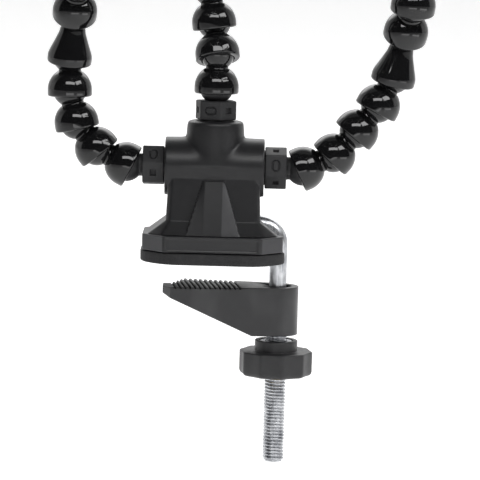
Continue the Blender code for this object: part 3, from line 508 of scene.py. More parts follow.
def longLinkProfile(pitch):
    foot = pitch - math.sqrt(link["ball"] ** 2 - link["neck"] ** 2)
    bell = bellCurve(link["longNeck"], foot - 3.2 * mm)
    taper = np.array([(link["longNeck"] - 0.15 * mm, foot - 2.2 * mm),
                      (link["neck"] + 0.2 * mm, foot - 0.9 * mm), (link["neck"], foot - 0.4 * mm)])
    return np.concatenate([bell, taper, ballCurve(pitch), socketCurve()])


def armFrame(child, after):
    # a piece's ball-joint centre, its direction to the next joint, its joint axis and its pitch
    here = np.array(jointOf[child]["pos_m"])
    step = np.array(jointOf[after]["pos_m"]) - here
    return here, step / np.linalg.norm(step), np.array(jointOf[child]["axis"]), float(np.linalg.norm(step))


links = ["link_" + str(number) for number in range(1, 9)]
sideArm = links[:4] + ["long_link"] + links[4:7] + ["clip_holder", "clip_moving_jaw"]

for arm, members in (("left", sideArm), ("right", sideArm), ("lens", links + ["holder", "ring"])):
    for member, after in zip(members, members[1:]):
        if "link" not in member:
            continue
        node = arm + "_" + member
        origin, along, across, pitch = armFrame(node, arm + "_" + after)
        profile = longLinkProfile(pitch) if member == "long_link" else linkProfile(pitch)
        turnedPiece(node + "_shell", profile, link["sides"], origin, along, glossBlack, node, [node],
                    across=across)
print("links made")


connector = {"corner": 8.0 * mm, "stub": 6.5 * mm, "stubLength": 10.7 * mm, "edge": 0.3 * mm, "sides": 720,
             "pocketHalf": (1.3 * mm, 1.1 * mm), "pocketDepth": 1.1 * mm, "ringLong": 2.0 * mm,
             "ringRound": 1.25 * mm, "ringWide": 0.32 * mm, "ringDepth": 0.60 * mm}
hexagons = {"left": {"along": (-1.0, 0.0, 0.0), "across": (0.0, 0.0, 1.0), "turn": 40.5, "hex": 8.0 * mm,
                     "toBall": 6.2 * mm, "pockets": (3, 5)},
            "right": {"along": (1.0, 0.0, 0.0), "across": (0.0, 0.0, -1.0), "turn": -12.0, "hex": 8.0 * mm,
                      "toBall": 6.2 * mm, "pockets": (1, 3, 5)},
            "top": {"along": (0.0, 0.0, 1.0), "across": (1.0, 0.0, 0.0), "turn": -16.0, "hex": 7.0 * mm,
                    "toBall": 5.0 * mm, "pockets": (1, 3, 5)}}


def hexSwell(turnDegrees, low, high, pockets):
    # inside the hexagon's height the radius is apothem / cos(angle from the nearest flat's
    # middle), corners softened; flats hold a sunk pocket or a shallow obround ring in turn
    flat = connector["corner"] * math.cos(math.pi / 6.0)

    def swell(angle, radius, height):
        share = ((angle - math.radians(turnDegrees)) % (2.0 * math.pi)) / (math.pi / 3.0)
        facet = np.floor(share)
        local = (share - facet - 0.5) * (math.pi / 3.0)
        hexagon = smoothMin(flat / np.cos(local), connector["corner"] - 0.1 * mm, 0.2 * mm)
        inHex = (height > low - 1e-6) & (height < high + 1e-6) & (radius > link["neck"] + 1e-5)
        scale = np.minimum(radius / connector["corner"], 1.0)
        around = np.abs(flat * np.tan(local))
        upDown = np.abs(height - (low + high) / 2.0)
        halfAround, halfUp = connector["pocketHalf"]
        pocket = (smoothStep(halfAround - around, -0.05 * mm, 0.12 * mm)
                  * smoothStep(halfUp - upDown, -0.05 * mm, 0.12 * mm))
        reach = np.hypot(np.maximum(around - (connector["ringLong"] - connector["ringRound"]), 0.0), upDown)
        ring = smoothStep(connector["ringWide"] - np.abs(reach - connector["ringRound"]), -0.05 * mm,
                          0.15 * mm)
        sunk = np.where(np.isin(facet, pockets), pocket * connector["pocketDepth"],
                        ring * connector["ringDepth"])
        return np.where(inHex, hexagon * scale - sunk, radius)

    return swell


for side, look in hexagons.items():
    origin = jointOf[("lens" if side == "top" else side) + "_link_1"]["pos_m"]
    high = -look["toBall"]
    low = high - look["hex"]
    corner, edge = connector["corner"], connector["edge"]
    walls = np.stack([np.full(70, corner), np.linspace(low + edge, high - edge, 70)], -1)
    profile = np.concatenate([
        [(link["bore"], low - connector["stubLength"]), (connector["stub"], low - connector["stubLength"]),
         (connector["stub"], low - 1e-5), (corner - edge, low)], walls,
        [(corner - edge, high), (link["neck"] + 0.4 * mm, high), (link["neck"], high + 0.3 * mm)],
        ballCurve(0.0)])
    name = "connector_" + side
    turnedPiece(name + "_moulding", profile, connector["sides"], origin, look["along"], connectorFinish,
                "base", [name], across=look["across"],
                swell=hexSwell(look["turn"], low, high, look["pockets"]))
print("connectors made")


hubLow, hubHigh = (np.array(corner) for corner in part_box("hub"))
hub = {"boss": 10.75 * mm, "halfLength": 18.5 * mm, "centre": 35.1 * mm, "endRound": 0.5 * mm,
       "topRound": 2.2 * mm, "fillet": 1.3 * mm, "columns": 384, "upperRows": 120, "lowerRows": 110,
       "heights": np.array([hubLow[2], 15.7 * mm, 30.4 * mm, 35.1 * mm]),
       "widths": np.array([24.0, 17.6, 17.0, 17.0]) * mm, "depths": np.array([16.5, 12.6, 10.3, 9.5]) * mm,
       "corners": np.array([5.0, 1.6, 1.6, 1.6]) * mm,
       "rib": 3.35 * mm, "ribTop": 30.4 * mm, "ribProud": 0.8 * mm, "ribSpread": 6.6 * mm}


def hubReach(directions):
    # upper half: how far a ray from the crossing's centre goes, the smooth union of two equal
    # cylinders, one along X and one along Z, each with softened ends
    x, y, z = np.abs(directions[..., 0]), np.abs(directions[..., 1]), np.abs(directions[..., 2])
    tiny = 1e-4
    boss = smoothMin(hub["boss"] / np.maximum(np.hypot(y, z), tiny), hub["halfLength"] / np.maximum(x, tiny),
                     hub["endRound"])
    neck = smoothMin(hub["boss"] / np.maximum(np.hypot(x, y), tiny),
                     (hubHigh[2] - hub["centre"]) / np.maximum(z, tiny), hub["topRound"])
    return smoothMax(boss, neck, hub["fillet"])


def hubSection(angle, height):
    # lower half: how far a level ray goes at a height, the smooth union of the boss's slab,
    # the cut-corner pedestal and the front rib with its sloping cheeks
    cosine, sine = np.abs(np.cos(angle)) + 1e-4, np.abs(np.sin(angle)) + 1e-4
    width = np.interp(-height, -hub["heights"][::-1], hub["widths"][::-1])
    depth = np.interp(-height, -hub["heights"][::-1], hub["depths"][::-1])
    corner = np.interp(-height, -hub["heights"][::-1], hub["corners"][::-1])
    slab = np.sqrt(np.maximum(hub["boss"] ** 2 - (hub["centre"] - height) ** 2, 0.0))
    boss = smoothMin(slab / sine, hub["halfLength"] / cosine, hub["endRound"])
    pedestal = smoothMin(smoothMin(width / cosine, depth / sine, 0.3 * mm),
                         (width + depth - corner) / (cosine + sine), 0.3 * mm)
    down = np.clip((hub["ribTop"] - height) / (hub["ribTop"] - hubLow[2]), 0.0, 1.0)
    front = (hub["boss"] + (hub["depths"][0] - hub["boss"]) * down) + hub["ribProud"]
    side = hub["rib"] + hub["ribProud"] + (hub["ribSpread"] - hub["ribProud"]) * down
    proud = smoothStep(hub["ribTop"] - height, -0.1 * mm, 0.3 * mm)
    # the cheek's line runs from the front face's edge back to the side
    cheek = (hub["ribProud"] * hub["rib"] + (side - hub["rib"]) * front) \
        / (hub["ribProud"] * cosine + (side - hub["rib"]) * sine)
    rib = smoothMin(smoothMin(front / sine, cheek, 0.08 * mm), side / cosine, 0.08 * mm)
    rib = np.where((np.sin(angle) < 0.0) & (proud > 0.0), rib, 0.0)
    return smoothMax(smoothMax(boss, pedestal, 0.15 * mm), rib, 0.08 * mm)


def makeHub():
    angle = np.linspace(0.0, 2.0 * math.pi, hub["columns"], endpoint=False)[None, :]
    # level rays below the boss's centre line, evenly spaced
    share = np.linspace(0.0, 1.0, hub["lowerRows"])[:, None]
    height = hubLow[2] + (hub["centre"] - hubLow[2]) * share
    flat = hubSection(angle, height + 0.0 * angle)
    lower = np.stack([flat * np.cos(angle), flat * np.sin(angle), height + 0.0 * angle], -1)
    rise = np.linspace(0.0, math.pi / 2.0, hub["upperRows"] + 1)[1:-1, None]
    rays = np.stack([np.cos(rise) * np.cos(angle), np.cos(rise) * np.sin(angle),
                     np.sin(rise) + 0.0 * angle], -1)
    meet = smoothStep(rise, 0.0, 0.12)[..., None]  # eases the two halves' fillets into each other
    upper = rays * (hubReach(rays)[..., None] * meet + (1.0 - meet) * flat[-1][None, :, None])
    upper[..., 2] += hub["centre"]
    points = np.concatenate([lower, upper])
    rows, columns = points.shape[:2]
    addPiece("hub_casting", points, gridFaces(rows, columns), hubFinish, "base", ["hub"],
             gridUv(rows, columns), tubeCaps(rows, columns), 50.0)


makeHub()
print("hub made")


plate = {"corner": 8.2 * mm, "round": 0.7 * mm, "edge": 0.45 * mm, "panelDepth": 0.30 * mm,
         "panelHalf": 17.0 * mm, "panelMargin": 0.75 * mm, "step": 0.45 * mm}
pad = {"corner": 9.2 * mm, "round": 5.5 * mm, "edge": 0.6 * mm}


def notchedOctagon(half, depth, corner, notchInner, notchHalf, roundness):
    # outline with cut corners and a slot open to +X for the rod, corners softened
    inner, shy = half - corner, depth - corner
    corners = [(-inner, -depth), (inner, -depth), (half, -shy), (half, -notchHalf), (notchInner, -notchHalf),
               (notchInner, notchHalf), (half, notchHalf), (half, shy), (inner, depth), (-inner, depth),
               (-half, shy), (-half, -shy)]
    return rounded(corners, roundness, 4)


def resampled(outline, step):
    # even points along a closed outline
    loop = np.concatenate([outline, outline[:1]])
    length = np.concatenate([[0.0], np.cumsum(np.linalg.norm(np.diff(loop, axis=0), axis=1))])
    even = np.linspace(0.0, length[-1], int(length[-1] / step), endpoint=False)
    return np.stack([np.interp(even, length, loop[:, axis]) for axis in (0, 1)], -1)


def slabPiece(name, outline, low, high, edge, inset, finish, body, nodes, rows=22):
    # an outline carried up from low to high; its edges roll in by edge, and inset(x, y, z)
    # sinks the wall further where it has a panel
    ahead = np.roll(outline, -1, 0) - np.roll(outline, 1, 0)
    outward = np.stack([ahead[:, 1], -ahead[:, 0]], -1)
    outward /= np.linalg.norm(outward, axis=1)[:, None]
    roll = np.radians(np.linspace(90.0, 0.0, 6))
    up, back = edge * (1.0 - np.sin(roll)), edge * (1.0 - np.cos(roll))
    heights = np.concatenate([low + up, np.linspace(low + edge, high - edge, rows)[1:-1], (high - up)[::-1]])
    shrink = np.concatenate([back, np.zeros(rows - 2), back[::-1]])
    z = heights[:, None] + 0.0 * outline[None, :, 0]
    sink = shrink[:, None] + inset(outline[None, :, 0], outline[None, :, 1], z)
    flat = outline[None] - outward[None] * sink[..., None]
    points = np.concatenate([flat, z[..., None]], -1)
    count, columns = points.shape[:2]
    addPiece(name, points, gridFaces(count, columns), finish, body, nodes, gridUv(count, columns),
             tubeCaps(count, columns), 45.0)


plateLow, plateHigh = (np.array(corner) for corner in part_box("base_plate"))
padLow, padHigh = (np.array(corner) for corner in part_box("base_pad"))
rodBox = [np.array(corner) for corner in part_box("clamp_rod")]
rod = {"x": 24.8 * mm, "height": 13.9 * mm, "radius": 3.25 * mm, "bend": 7.5 * mm, "thread": 3.95 * mm,
       "pitch": 1.25 * mm, "threadTop": -12.0 * mm, "depth": 0.50 * mm, "slack": 0.6 * mm, "sides": 48,
       "rowsPerTurn": 8}


def platePanel(x, y, z):
    # a shallow panel on the front face with a thin frame round it
    front = smoothStep(-y, plateHigh[1] - 0.5 * mm, plateHigh[1] - 0.2 * mm)
    wide = smoothStep(plate["panelHalf"] - np.abs(x), 0.0, 0.35 * mm)
    tall = (smoothStep(z - plateLow[2] - plate["panelMargin"], 0.0, 0.3 * mm)
            * smoothStep(plateHigh[2] - plate["panelMargin"] - z, 0.0, 0.3 * mm))
    return plate["panelDepth"] * front * wide * tall


notchHalf = rod["radius"] + rod["slack"]
plateOutline = resampled(notchedOctagon(plateHigh[0], plateHigh[1], plate["corner"], rod["x"] - rod["bend"],
                                        notchHalf, plate["round"]), plate["step"])
slabPiece("base_plate_moulding", plateOutline, plateLow[2], plateHigh[2], plate["edge"], platePanel,
          plateFinish, "base", ["base_plate"])
padOutline = resampled(notchedOctagon(padHigh[0], padHigh[1], pad["corner"], rod["x"] - notchHalf,
                                      notchHalf, pad["round"]), plate["step"])
slabPiece("base_pad_rubber", padOutline, padLow[2], padHigh[2], pad["edge"],
          lambda x, y, z: 0.0 * x * y * z, rubberBlack, "base", ["base_pad"], 14)
print("base made")


def barRings(path, radii, sides):
    # circles of the given radii square to a path that lies in the XZ plane
    ahead = np.gradient(path, axis=0)
    ahead /= np.linalg.norm(ahead, axis=1)[:, None]
    side = np.cross(np.array([0.0, 1.0, 0.0]), ahead)
    angle = np.linspace(0.0, 2.0 * math.pi, sides, endpoint=False)
    ring = (side[:, None, :] * np.cos(angle)[None, :, None]
            + np.array([0.0, 1.0, 0.0])[None, None, :] * np.sin(angle)[None, :, None])
    return path[:, None, :] + ring * radii[..., None]


def makeRod():
    # straight leg, bend and shank, then a true helix: along the thread the radius follows a
    # rounded V of one pitch that turns once round the bar, fading in at the top and out at the end
    straight = np.stack([np.linspace(rodBox[0][0], rod["x"] - rod["bend"], 12)[:-1], np.zeros(11),
                         np.full(11, rod["height"])], -1)
    turn = np.radians(np.linspace(90.0, 0.0, 28))
    bend = np.stack([rod["x"] - rod["bend"] + rod["bend"] * np.cos(turn), 0.0 * turn,
                     rod["height"] - rod["bend"] + rod["bend"] * np.sin(turn)], -1)
    shankDepths = np.linspace(rod["height"] - rod["bend"], rod["threadTop"], 20)[1:]
    bottom = rodBox[0][2]
    turns = (rod["threadTop"] - bottom) / rod["pitch"]
    threadDepths = np.linspace(rod["threadTop"], bottom, int(turns * rod["rowsPerTurn"]))[1:]
    depths = np.concatenate([shankDepths, threadDepths])
    shank = np.stack([np.full(len(depths), rod["x"]), 0.0 * depths, depths], -1)
    path = np.concatenate([straight, bend, shank])
    angle = np.linspace(0.0, 2.0 * math.pi, rod["sides"], endpoint=False)[None, :]
    z = path[:, 2][:, None]
    phase = (z / rod["pitch"] - angle / (2.0 * math.pi)) % 1.0
    groove = rod["depth"] * smoothStep(np.abs(phase - 0.5) * 2.0, 0.35, 0.95)
    onThread = (smoothStep(rod["threadTop"] - z, -0.2 * mm, 1.5 * mm)
                * smoothStep(z - bottom, -0.1 * mm, 1.2 * mm))
    taper = rod["thread"] - (rod["thread"] - rod["radius"]) * (1.0 - onThread)
    threaded = taper - groove * onThread
    radii = np.where(z < rod["threadTop"] + 0.2 * mm, threaded, rod["radius"])
    # the straight leg and the bend lie above the threaded part, so height alone tells them apart
    points = barRings(path, radii, rod["sides"])
    rows, columns = points.shape[:2]
    addPiece("clamp_rod_bar", points, gridFaces(rows, columns), zincFinish, "base", ["clamp_rod"],
             gridUv(rows, columns), tubeCaps(rows, columns), 60.0)


makeRod()


jawLow, jawHigh = (np.array(corner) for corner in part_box("clamp_jaw"))
jaw = {"boss": 7.8 * mm, "front": (-40.0 * mm, -12.3 * mm), "nose": (-43.0 * mm, -7.6 * mm),
       "back": (-35.6 * mm, 13.8 * mm), "noseThick": 2.7 * mm, "heel": 9.4 * mm, "edge": 0.4 * mm,
       "ridges": 14, "ridgePitch": 1.85 * mm, "ridgeStart": -40.2 * mm, "ridgeDepth": 0.7 * mm,
       "ridgeTurn": 8.0, "recess": 5.2 * mm, "recessDepth": 0.9 * mm, "stations": 420, "topPoints": 90,
       "sidePoints": 26, "underPoints": 24}


def jawTop(x, y):
    # height of the gripping face: sawn ridges towards the nose, a sunk ring round the rod
    turn = math.radians(jaw["ridgeTurn"])
    along = x * math.cos(turn) + y * math.sin(turn)
    share = (along - jaw["ridgeStart"]) / jaw["ridgePitch"]
    inRidges = (share > 0.0) & (share < jaw["ridges"])
    groove = smoothStep(0.30 - np.abs(share % 1.0 - 0.5), 0.0, 0.10)
    ring = smoothStep(jaw["recess"] - np.hypot(x, y), -0.1 * mm, 0.15 * mm)
    return jawHigh[2] - jaw["ridgeDepth"] * groove * inRidges - jaw["recessDepth"] * ring


def makeJaw():
    # cross-sections square to X, from the nose to the far side of the boss: each is a box whose
    # ends follow the plan, whose floor follows the sloping underside, with rolled edges
    x = np.concatenate([np.linspace(jaw["nose"][0] + 0.02 * mm, -8.0 * mm, jaw["stations"] - 80),
                        jaw["boss"] * np.sin(np.radians(np.linspace(-89.0, 89.5, 200))[-104:])])
    x = np.unique(np.round(x, 8))
    noseX, noseY = jaw["nose"]
    frontEdge = np.interp(x, [noseX, jaw["front"][0], 0.0], [noseY, jaw["front"][1], -jaw["boss"]])
    backEdge = np.interp(x, [noseX, jaw["back"][0], 0.0], [noseY + 0.3 * mm, jaw["back"][1], jaw["boss"]])
    cap = np.sqrt(np.maximum(jaw["boss"] ** 2 - np.minimum(np.abs(x), jaw["boss"]) ** 2, 1e-10))
    frontEdge = np.where(x > 0.0, -cap, np.minimum(frontEdge, -cap * (x > -jaw["boss"])))
    backEdge = np.where(x > 0.0, cap, np.maximum(backEdge, cap * (x > -jaw["boss"])))
    under = np.interp(x, [noseX, -jaw["heel"]], [jawHigh[2] - jaw["noseThick"], jawLow[2]])
    front, back, under = frontEdge[:, None], backEdge[:, None], under[:, None]
    edge = np.minimum(jaw["edge"], (back - front) * 0.3)
    roll = np.radians(np.linspace(0.0, 90.0, 6))[None, :]
    topShare = np.linspace(0.0, 1.0, jaw["topPoints"])[None, :]
    underShare = np.linspace(0.0, 1.0, jaw["underPoints"])[None, :]
    sideShare = np.linspace(0.0, 1.0, jaw["sidePoints"])[None, :]
    high = jawHigh[2]
    inward, upward = edge * (1.0 - np.cos(roll)), edge * (1.0 - np.sin(roll))  # the rolled edge
    wide, tall = back - front - 2 * edge, high - under - 2 * edge
    topRoll = high - upward + 0.0 * front
    # up the front, over the top, down the back and home along the underside
    y = np.concatenate([
        front + 0.0 * sideShare, front + inward, front + edge + wide * topShare, (back - inward)[:, ::-1],
        back + 0.0 * sideShare, back - inward, back - edge - wide * underShare, (front + inward)[:, ::-1]], 1)
    z = np.concatenate([
        under + edge + tall * sideShare, topRoll, high + 0.0 * (under + topShare), topRoll[:, ::-1],
        high - edge - tall * sideShare, under + upward, under + 0.0 * underShare,
        (under + upward)[:, ::-1]], 1)
    station = x[:, None] + 0.0 * y
    z = np.minimum(z, jawTop(station, y))
    points = np.stack([station + rod["x"], y, z], -1)
    rows, columns = points.shape[:2]
    addPiece("clamp_jaw_moulding", points, gridFaces(rows, columns), jawFinish, "clamp_jaw", ["clamp_jaw"],
             gridUv(rows, columns), tubeCaps(rows, columns), 38.0)


makeJaw()


knobLow, knobHigh = (np.array(corner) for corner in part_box("clamp_knob"))
knob = {"collar": 8.0 * mm, "collarHeight": 4.0 * mm, "radius": 13.9 * mm, "lobes": 10, "valley": 0.15 * mm,
        "turn": -79.0, "lowerEdge": 2.0 * mm, "upperEdge": 0.6 * mm, "cup": 6.3 * mm, "cupDepth": 1.8 * mm,
        "bore": 4.3 * mm, "pocket": 5.9 * mm, "sides": 360}


def knobSwell(angle, radius, height):
    # outside the collar the radius follows flats that meet at soft ridges, slightly hollowed
    share = ((angle - math.radians(knob["turn"])) * knob["lobes"] / (2.0 * math.pi)) % 1.0 - 0.5
    local = share * 2.0 * math.pi / knob["lobes"]
    flat = math.cos(math.pi / knob["lobes"])
    ridge = smoothMin(flat / np.cos(local), 1.0 - 0.008 + 0.0 * local, 0.006)
    depth = knob["radius"] * (1.0 - ridge) + knob["valley"] * np.cos(math.pi * share) ** 2
    share = smoothStep(radius, knob["collar"] + 0.5 * mm, knob["radius"] - knob["lowerEdge"])
    return radius - depth * share


def makeKnob():
    low, high = knobLow[2], knobHigh[2]
    shoulder = high - knob["collarHeight"]
    floor = high - knob["cupDepth"]
    corners = [(knob["pocket"], low), (knob["radius"], low), (knob["radius"], shoulder),
               (knob["collar"], shoulder), (knob["collar"], high), (knob["cup"], high), (knob["cup"], floor),
               (knob["bore"], floor), (knob["bore"], shoulder), (knob["pocket"], shoulder)]
    radii = [0.2 * mm, knob["lowerEdge"], knob["upperEdge"], 0.25 * mm, 0.3 * mm, 0.15 * mm, 0.1 * mm,
             0.1 * mm, 0.05 * mm, 0.05 * mm]
    turnedPiece("clamp_knob_moulding", rounded(corners, radii, 7), knob["sides"], (rod["x"], 0.0, 0.0),
                upright, mouldedBlack, "clamp_knob", ["clamp_knob"], swell=knobSwell,
                across=(1.0, 0.0, 0.0), sharpDegrees=50.0)


makeKnob()


def washerCorners(inner, outer, low, high):
    # half section of a plain ring, from its bore at the bottom round to its bore at the top
    return [(inner, low), (outer, low), (outer, high), (inner, high)]


def roundPiece(name, node, corners, roundness, sides, origin, along, finish, body, swell=None,
               across=None):
    # a turned part from the corners of its half section
    return turnedPiece(name, rounded(corners, roundness, 4), sides, origin, along, finish, body,
                       [node] if node else [], swell=swell, across=across)


washer = {"inner": 4.25 * mm, "outer": 6.0 * mm}
insert = {"inner": 4.1 * mm, "outer": 5.6 * mm}
washerLow, washerHigh = (np.array(corner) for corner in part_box("clamp_washer"))
roundPiece("clamp_washer_disc", "clamp_washer",
           washerCorners(washer["inner"], washer["outer"], washerLow[2], washerHigh[2]), 0.15 * mm, 72,
           (rod["x"], 0.0, 0.0), upright, zincFinish, "clamp_washer")
insertLow, insertHigh = (np.array(corner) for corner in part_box("knob_insert"))
roundPiece("knob_insert_sleeve", "knob_insert",
           washerCorners(insert["inner"], insert["outer"], insertLow[2], insertHigh[2]), 0.15 * mm, 72,
           (rod["x"], 0.0, 0.0), upright, brassFinish, "clamp_knob")
print("clamp made")


holder = {"tip": 17.0 * mm, "tipBore": 2.3 * mm, "boreDepth": 8.0 * mm, "boreEnd": 6.4 * mm,
          "jawEdge": 0.12 * mm}
rivet = {"radius": 0.9 * mm, "headRadius": 1.44 * mm, "half": 3.5 * mm, "head": 0.48 * mm}


def makeClipHolder(side):
    # socket bell up to a plain tip, bored for the clip's tail
    node = side + "_clip_holder"
    origin, along, across, reach = armFrame(node, side + "_clip_moving_jaw")
    neckHeight = holder["tip"] - holder["boreDepth"]
    bell = bellCurve(link["neck"], neckHeight)
    tip = rounded([(link["neck"], neckHeight), (link["neck"], holder["tip"]),
                   (holder["tipBore"], holder["tip"]), (holder["tipBore"], holder["boreEnd"])],
                  [0.0, 0.4 * mm, 0.2 * mm, 0.0], 4, False)
    profile = np.concatenate([bell, tip[1:], socketCurve()[1:]])
    turnedPiece(node + "_shell", profile, link["sides"], origin, along, glossBlack, node, [node],
                across=across)
    return origin, along


def refined(node, finish, width):
    # a merged copy of the CAD solid with its edges broken by a bevel
    source = frame["nodes"][node]
    mesh = source.data.copy()
    work = bmesh.new()
    work.from_mesh(mesh)
    bmesh.ops.remove_doubles(work, verts=work.verts, dist=2e-6)
    bmesh.ops.dissolve_limit(work, angle_limit=math.radians(1.0), verts=work.verts, edges=work.edges)
    work.to_mesh(mesh)
    work.free()
    shadeSoft(mesh, 38.0)
    mesh.materials.clear()
    mesh.materials.append(finish)
    piece = linked(node + "_piece", mesh)
    edge = piece.modifiers.new("edge", "BEVEL")
    edge.width = width
    edge.segments = 2
    edge.limit_method = "ANGLE"
    edge.angle_limit = math.radians(40.0)
    edge.use_clamp_overlap = True
    edge.harden_normals = False
    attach(piece, source["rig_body"])
    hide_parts(node)
    return piece


spring = {"coil": 1.75 * mm, "wire": 0.3 * mm, "turns": 2.5, "length": 1.6 * mm, "steps": 28, "sides": 12}


def makeSpring(side, origin, axis, along):
    # wire swept along a helix about the pin
    t = np.linspace(0.0, 1.0, int(spring["turns"] * spring["steps"]))
    turn = 2.0 * math.pi * spring["turns"] * t
    axis = axis / np.linalg.norm(axis)
    up = np.cross(along, axis)
    path = (np.outer(spring["length"] * (t - 0.5), axis)
            + spring["coil"] * (np.outer(np.cos(turn), up) + np.outer(np.sin(turn), along))) + origin
    ahead = np.gradient(path, axis=0)
    ahead /= np.linalg.norm(ahead, axis=1)[:, None]
    out = path - origin - np.outer((path - origin) @ axis, axis)
    out /= np.linalg.norm(out, axis=1)[:, None]
    other = np.cross(ahead, out)
    angle = np.linspace(0.0, 2.0 * math.pi, spring["sides"], endpoint=False)
    points = path[:, None, :] + spring["wire"] * (out[:, None, :] * np.cos(angle)[None, :, None]
                                                  + other[:, None, :] * np.sin(angle)[None, :, None])
    rows, columns = points.shape[:2]
    node = side + "_clip_spring"
    addPiece(node + "_wire", points, gridFaces(rows, columns), zincFinish, side + "_clip_holder", [node],
             gridUv(rows, columns), tubeCaps(rows, columns))


for side in ("left", "right"):
    origin, along = makeClipHolder(side)
    hinge = jointOf[side + "_clip_moving_jaw"]
    for jawName in ("_clip_fixed_jaw", "_clip_moving_jaw"):
        refined(side + jawName, nickelFinish, holder["jawEdge"])
    pin, headRadius, half = rivet["radius"], rivet["headRadius"], rivet["half"]
    end = half + rivet["head"]
    roundPiece(side + "_clip_pin_rivet", side + "_clip_pin",
               [(0.0, -end), (headRadius, -end), (headRadius, -half), (pin, -half), (pin, half),
                (headRadius, half), (headRadius, end), (0.0, end)],
               [0.0, 0.2 * mm, 0.0, 0.0, 0.0, 0.0, 0.2 * mm, 0.0], 40, hinge["pos_m"], hinge["axis"],
               zincFinish, side + "_clip_holder")
    makeSpring(side, np.array(hinge["pos_m"]), np.array(hinge["axis"]), along)
print("clips made")


magnifier = {"radius": 37.0 * mm, "bore": 31.2 * mm, "lip": 29.6 * mm, "height": 7.0 * mm,
             "lipHeight": 1.2 * mm, "edge": 1.6 * mm, "crown": 2.0 * mm, "toRing": 7.0 * mm,
             "gap": 0.3 * mm, "sides": 180, "flutes": 60, "fluteDepth": 0.12 * mm,
             "tabHalf": 2.0 * mm, "tabRound": 3.2 * mm, "tabReach": 9.9 * mm, "tabHole": 2.2 * mm}


def makeMagnifier():
    # ring, lens and retainer are turned about the lens axis, which stands square to the
    # tilt axis and to the holder's direction
    pivot = np.array(jointOf["lens_ring"]["pos_m"])
    tilt = np.array(jointOf["lens_ring"]["axis"])
    holderAt = np.array(jointOf["lens_holder"]["pos_m"])
    along = (pivot - holderAt) / np.linalg.norm(pivot - holderAt)
    normal = np.cross(along, tilt)
    centre = pivot + along * (magnifier["toRing"] + magnifier["radius"])
    half = magnifier["height"] / 2.0
    seat = -half + magnifier["lipHeight"]
    ring = [(magnifier["lip"], -half), (magnifier["radius"], -half), (magnifier["radius"], half),
            (magnifier["bore"], half), (magnifier["bore"], seat), (magnifier["lip"], seat)]

    def grip(angle, radius, height):
        # fine flutes round the rim
        rim = smoothStep(radius, magnifier["radius"] - 0.3 * mm, magnifier["radius"])
        return radius - magnifier["fluteDepth"] * rim * (0.5 + 0.5 * np.cos(magnifier["flutes"] * angle)) ** 4

    def tabEnd(angle, radius, height):
        # round the pivot a half circle, then flat sides reaching into the ring
        ahead = smoothMin(magnifier["tabRound"] / (np.abs(np.sin(angle)) + 1e-4),
                          magnifier["tabReach"] / (np.abs(np.cos(angle)) + 1e-4), 0.05 * mm)
        reach = np.where(np.cos(angle) > 0.0, ahead, magnifier["tabRound"])
        share = smoothStep(radius, magnifier["tabHole"] + 0.1 * mm, magnifier["tabRound"])
        return radius + (reach - magnifier["tabRound"]) * share

    tabHole, tabRound, tabHalf = magnifier["tabHole"], magnifier["tabRound"], magnifier["tabHalf"]
    roundPiece("lens_ring_tab", None, washerCorners(tabHole, tabRound, -tabHalf, tabHalf), 0.25 * mm, 240,
               pivot, tilt, mouldedBlack, "lens_ring", swell=tabEnd, across=along)
    radii = [0.25 * mm, 1.4 * mm, 1.4 * mm, 0.3 * mm, 0.05 * mm, 0.2 * mm]
    roundPiece("lens_ring_rim", "lens_ring", ring, radii, 720, centre, normal, mouldedBlack, "lens_ring",
               swell=grip, across=along)
    lensRadius = magnifier["bore"] - magnifier["gap"]
    lensLow = seat + magnifier["gap"]
    middle = lensLow + magnifier["edge"] / 2.0
    share = np.linspace(0.0, 1.0, 24)
    rise = magnifier["edge"] / 2.0 + magnifier["crown"] * (1.0 - share ** 2)
    upper = np.stack([lensRadius * share, middle + rise], -1)[::-1]
    lower = np.stack([lensRadius * share, middle - rise], -1)
    turnedPiece("lens_glass_disc", np.concatenate([lower, upper]), magnifier["sides"], centre, normal,
                glassFinish, "lens_ring", ["lens"], closed=False, across=along,
                sharpDegrees=30.0)
    keeperLow = lensLow + magnifier["edge"] + magnifier["gap"]
    roundPiece("lens_retainer_ring", "lens_retainer",
               washerCorners(magnifier["lip"], lensRadius, keeperLow, half), 0.25 * mm, magnifier["sides"],
               centre, normal, mouldedBlack, "lens_ring", across=along)


makeMagnifier()
refined("lens_holder", mouldedBlack, 0.35 * mm)
screwEdges = {"base_screw_left": 0.2 * mm, "base_screw_right": 0.2 * mm, "rod_set_screw": 0.2 * mm,
              "tilt_screw": 0.3 * mm, "tilt_nut": 0.3 * mm}
for node, width in screwEdges.items():
    refined(node, zincFinish, width)
print("magnifier made")


studio = {"floor": -0.0785, "size": 6.0, "curveStart": 1.6, "curve": 0.8, "seen": 1.0, "dim": 0.035,
          "bright": 0.85, "tableGlow": 0.5}


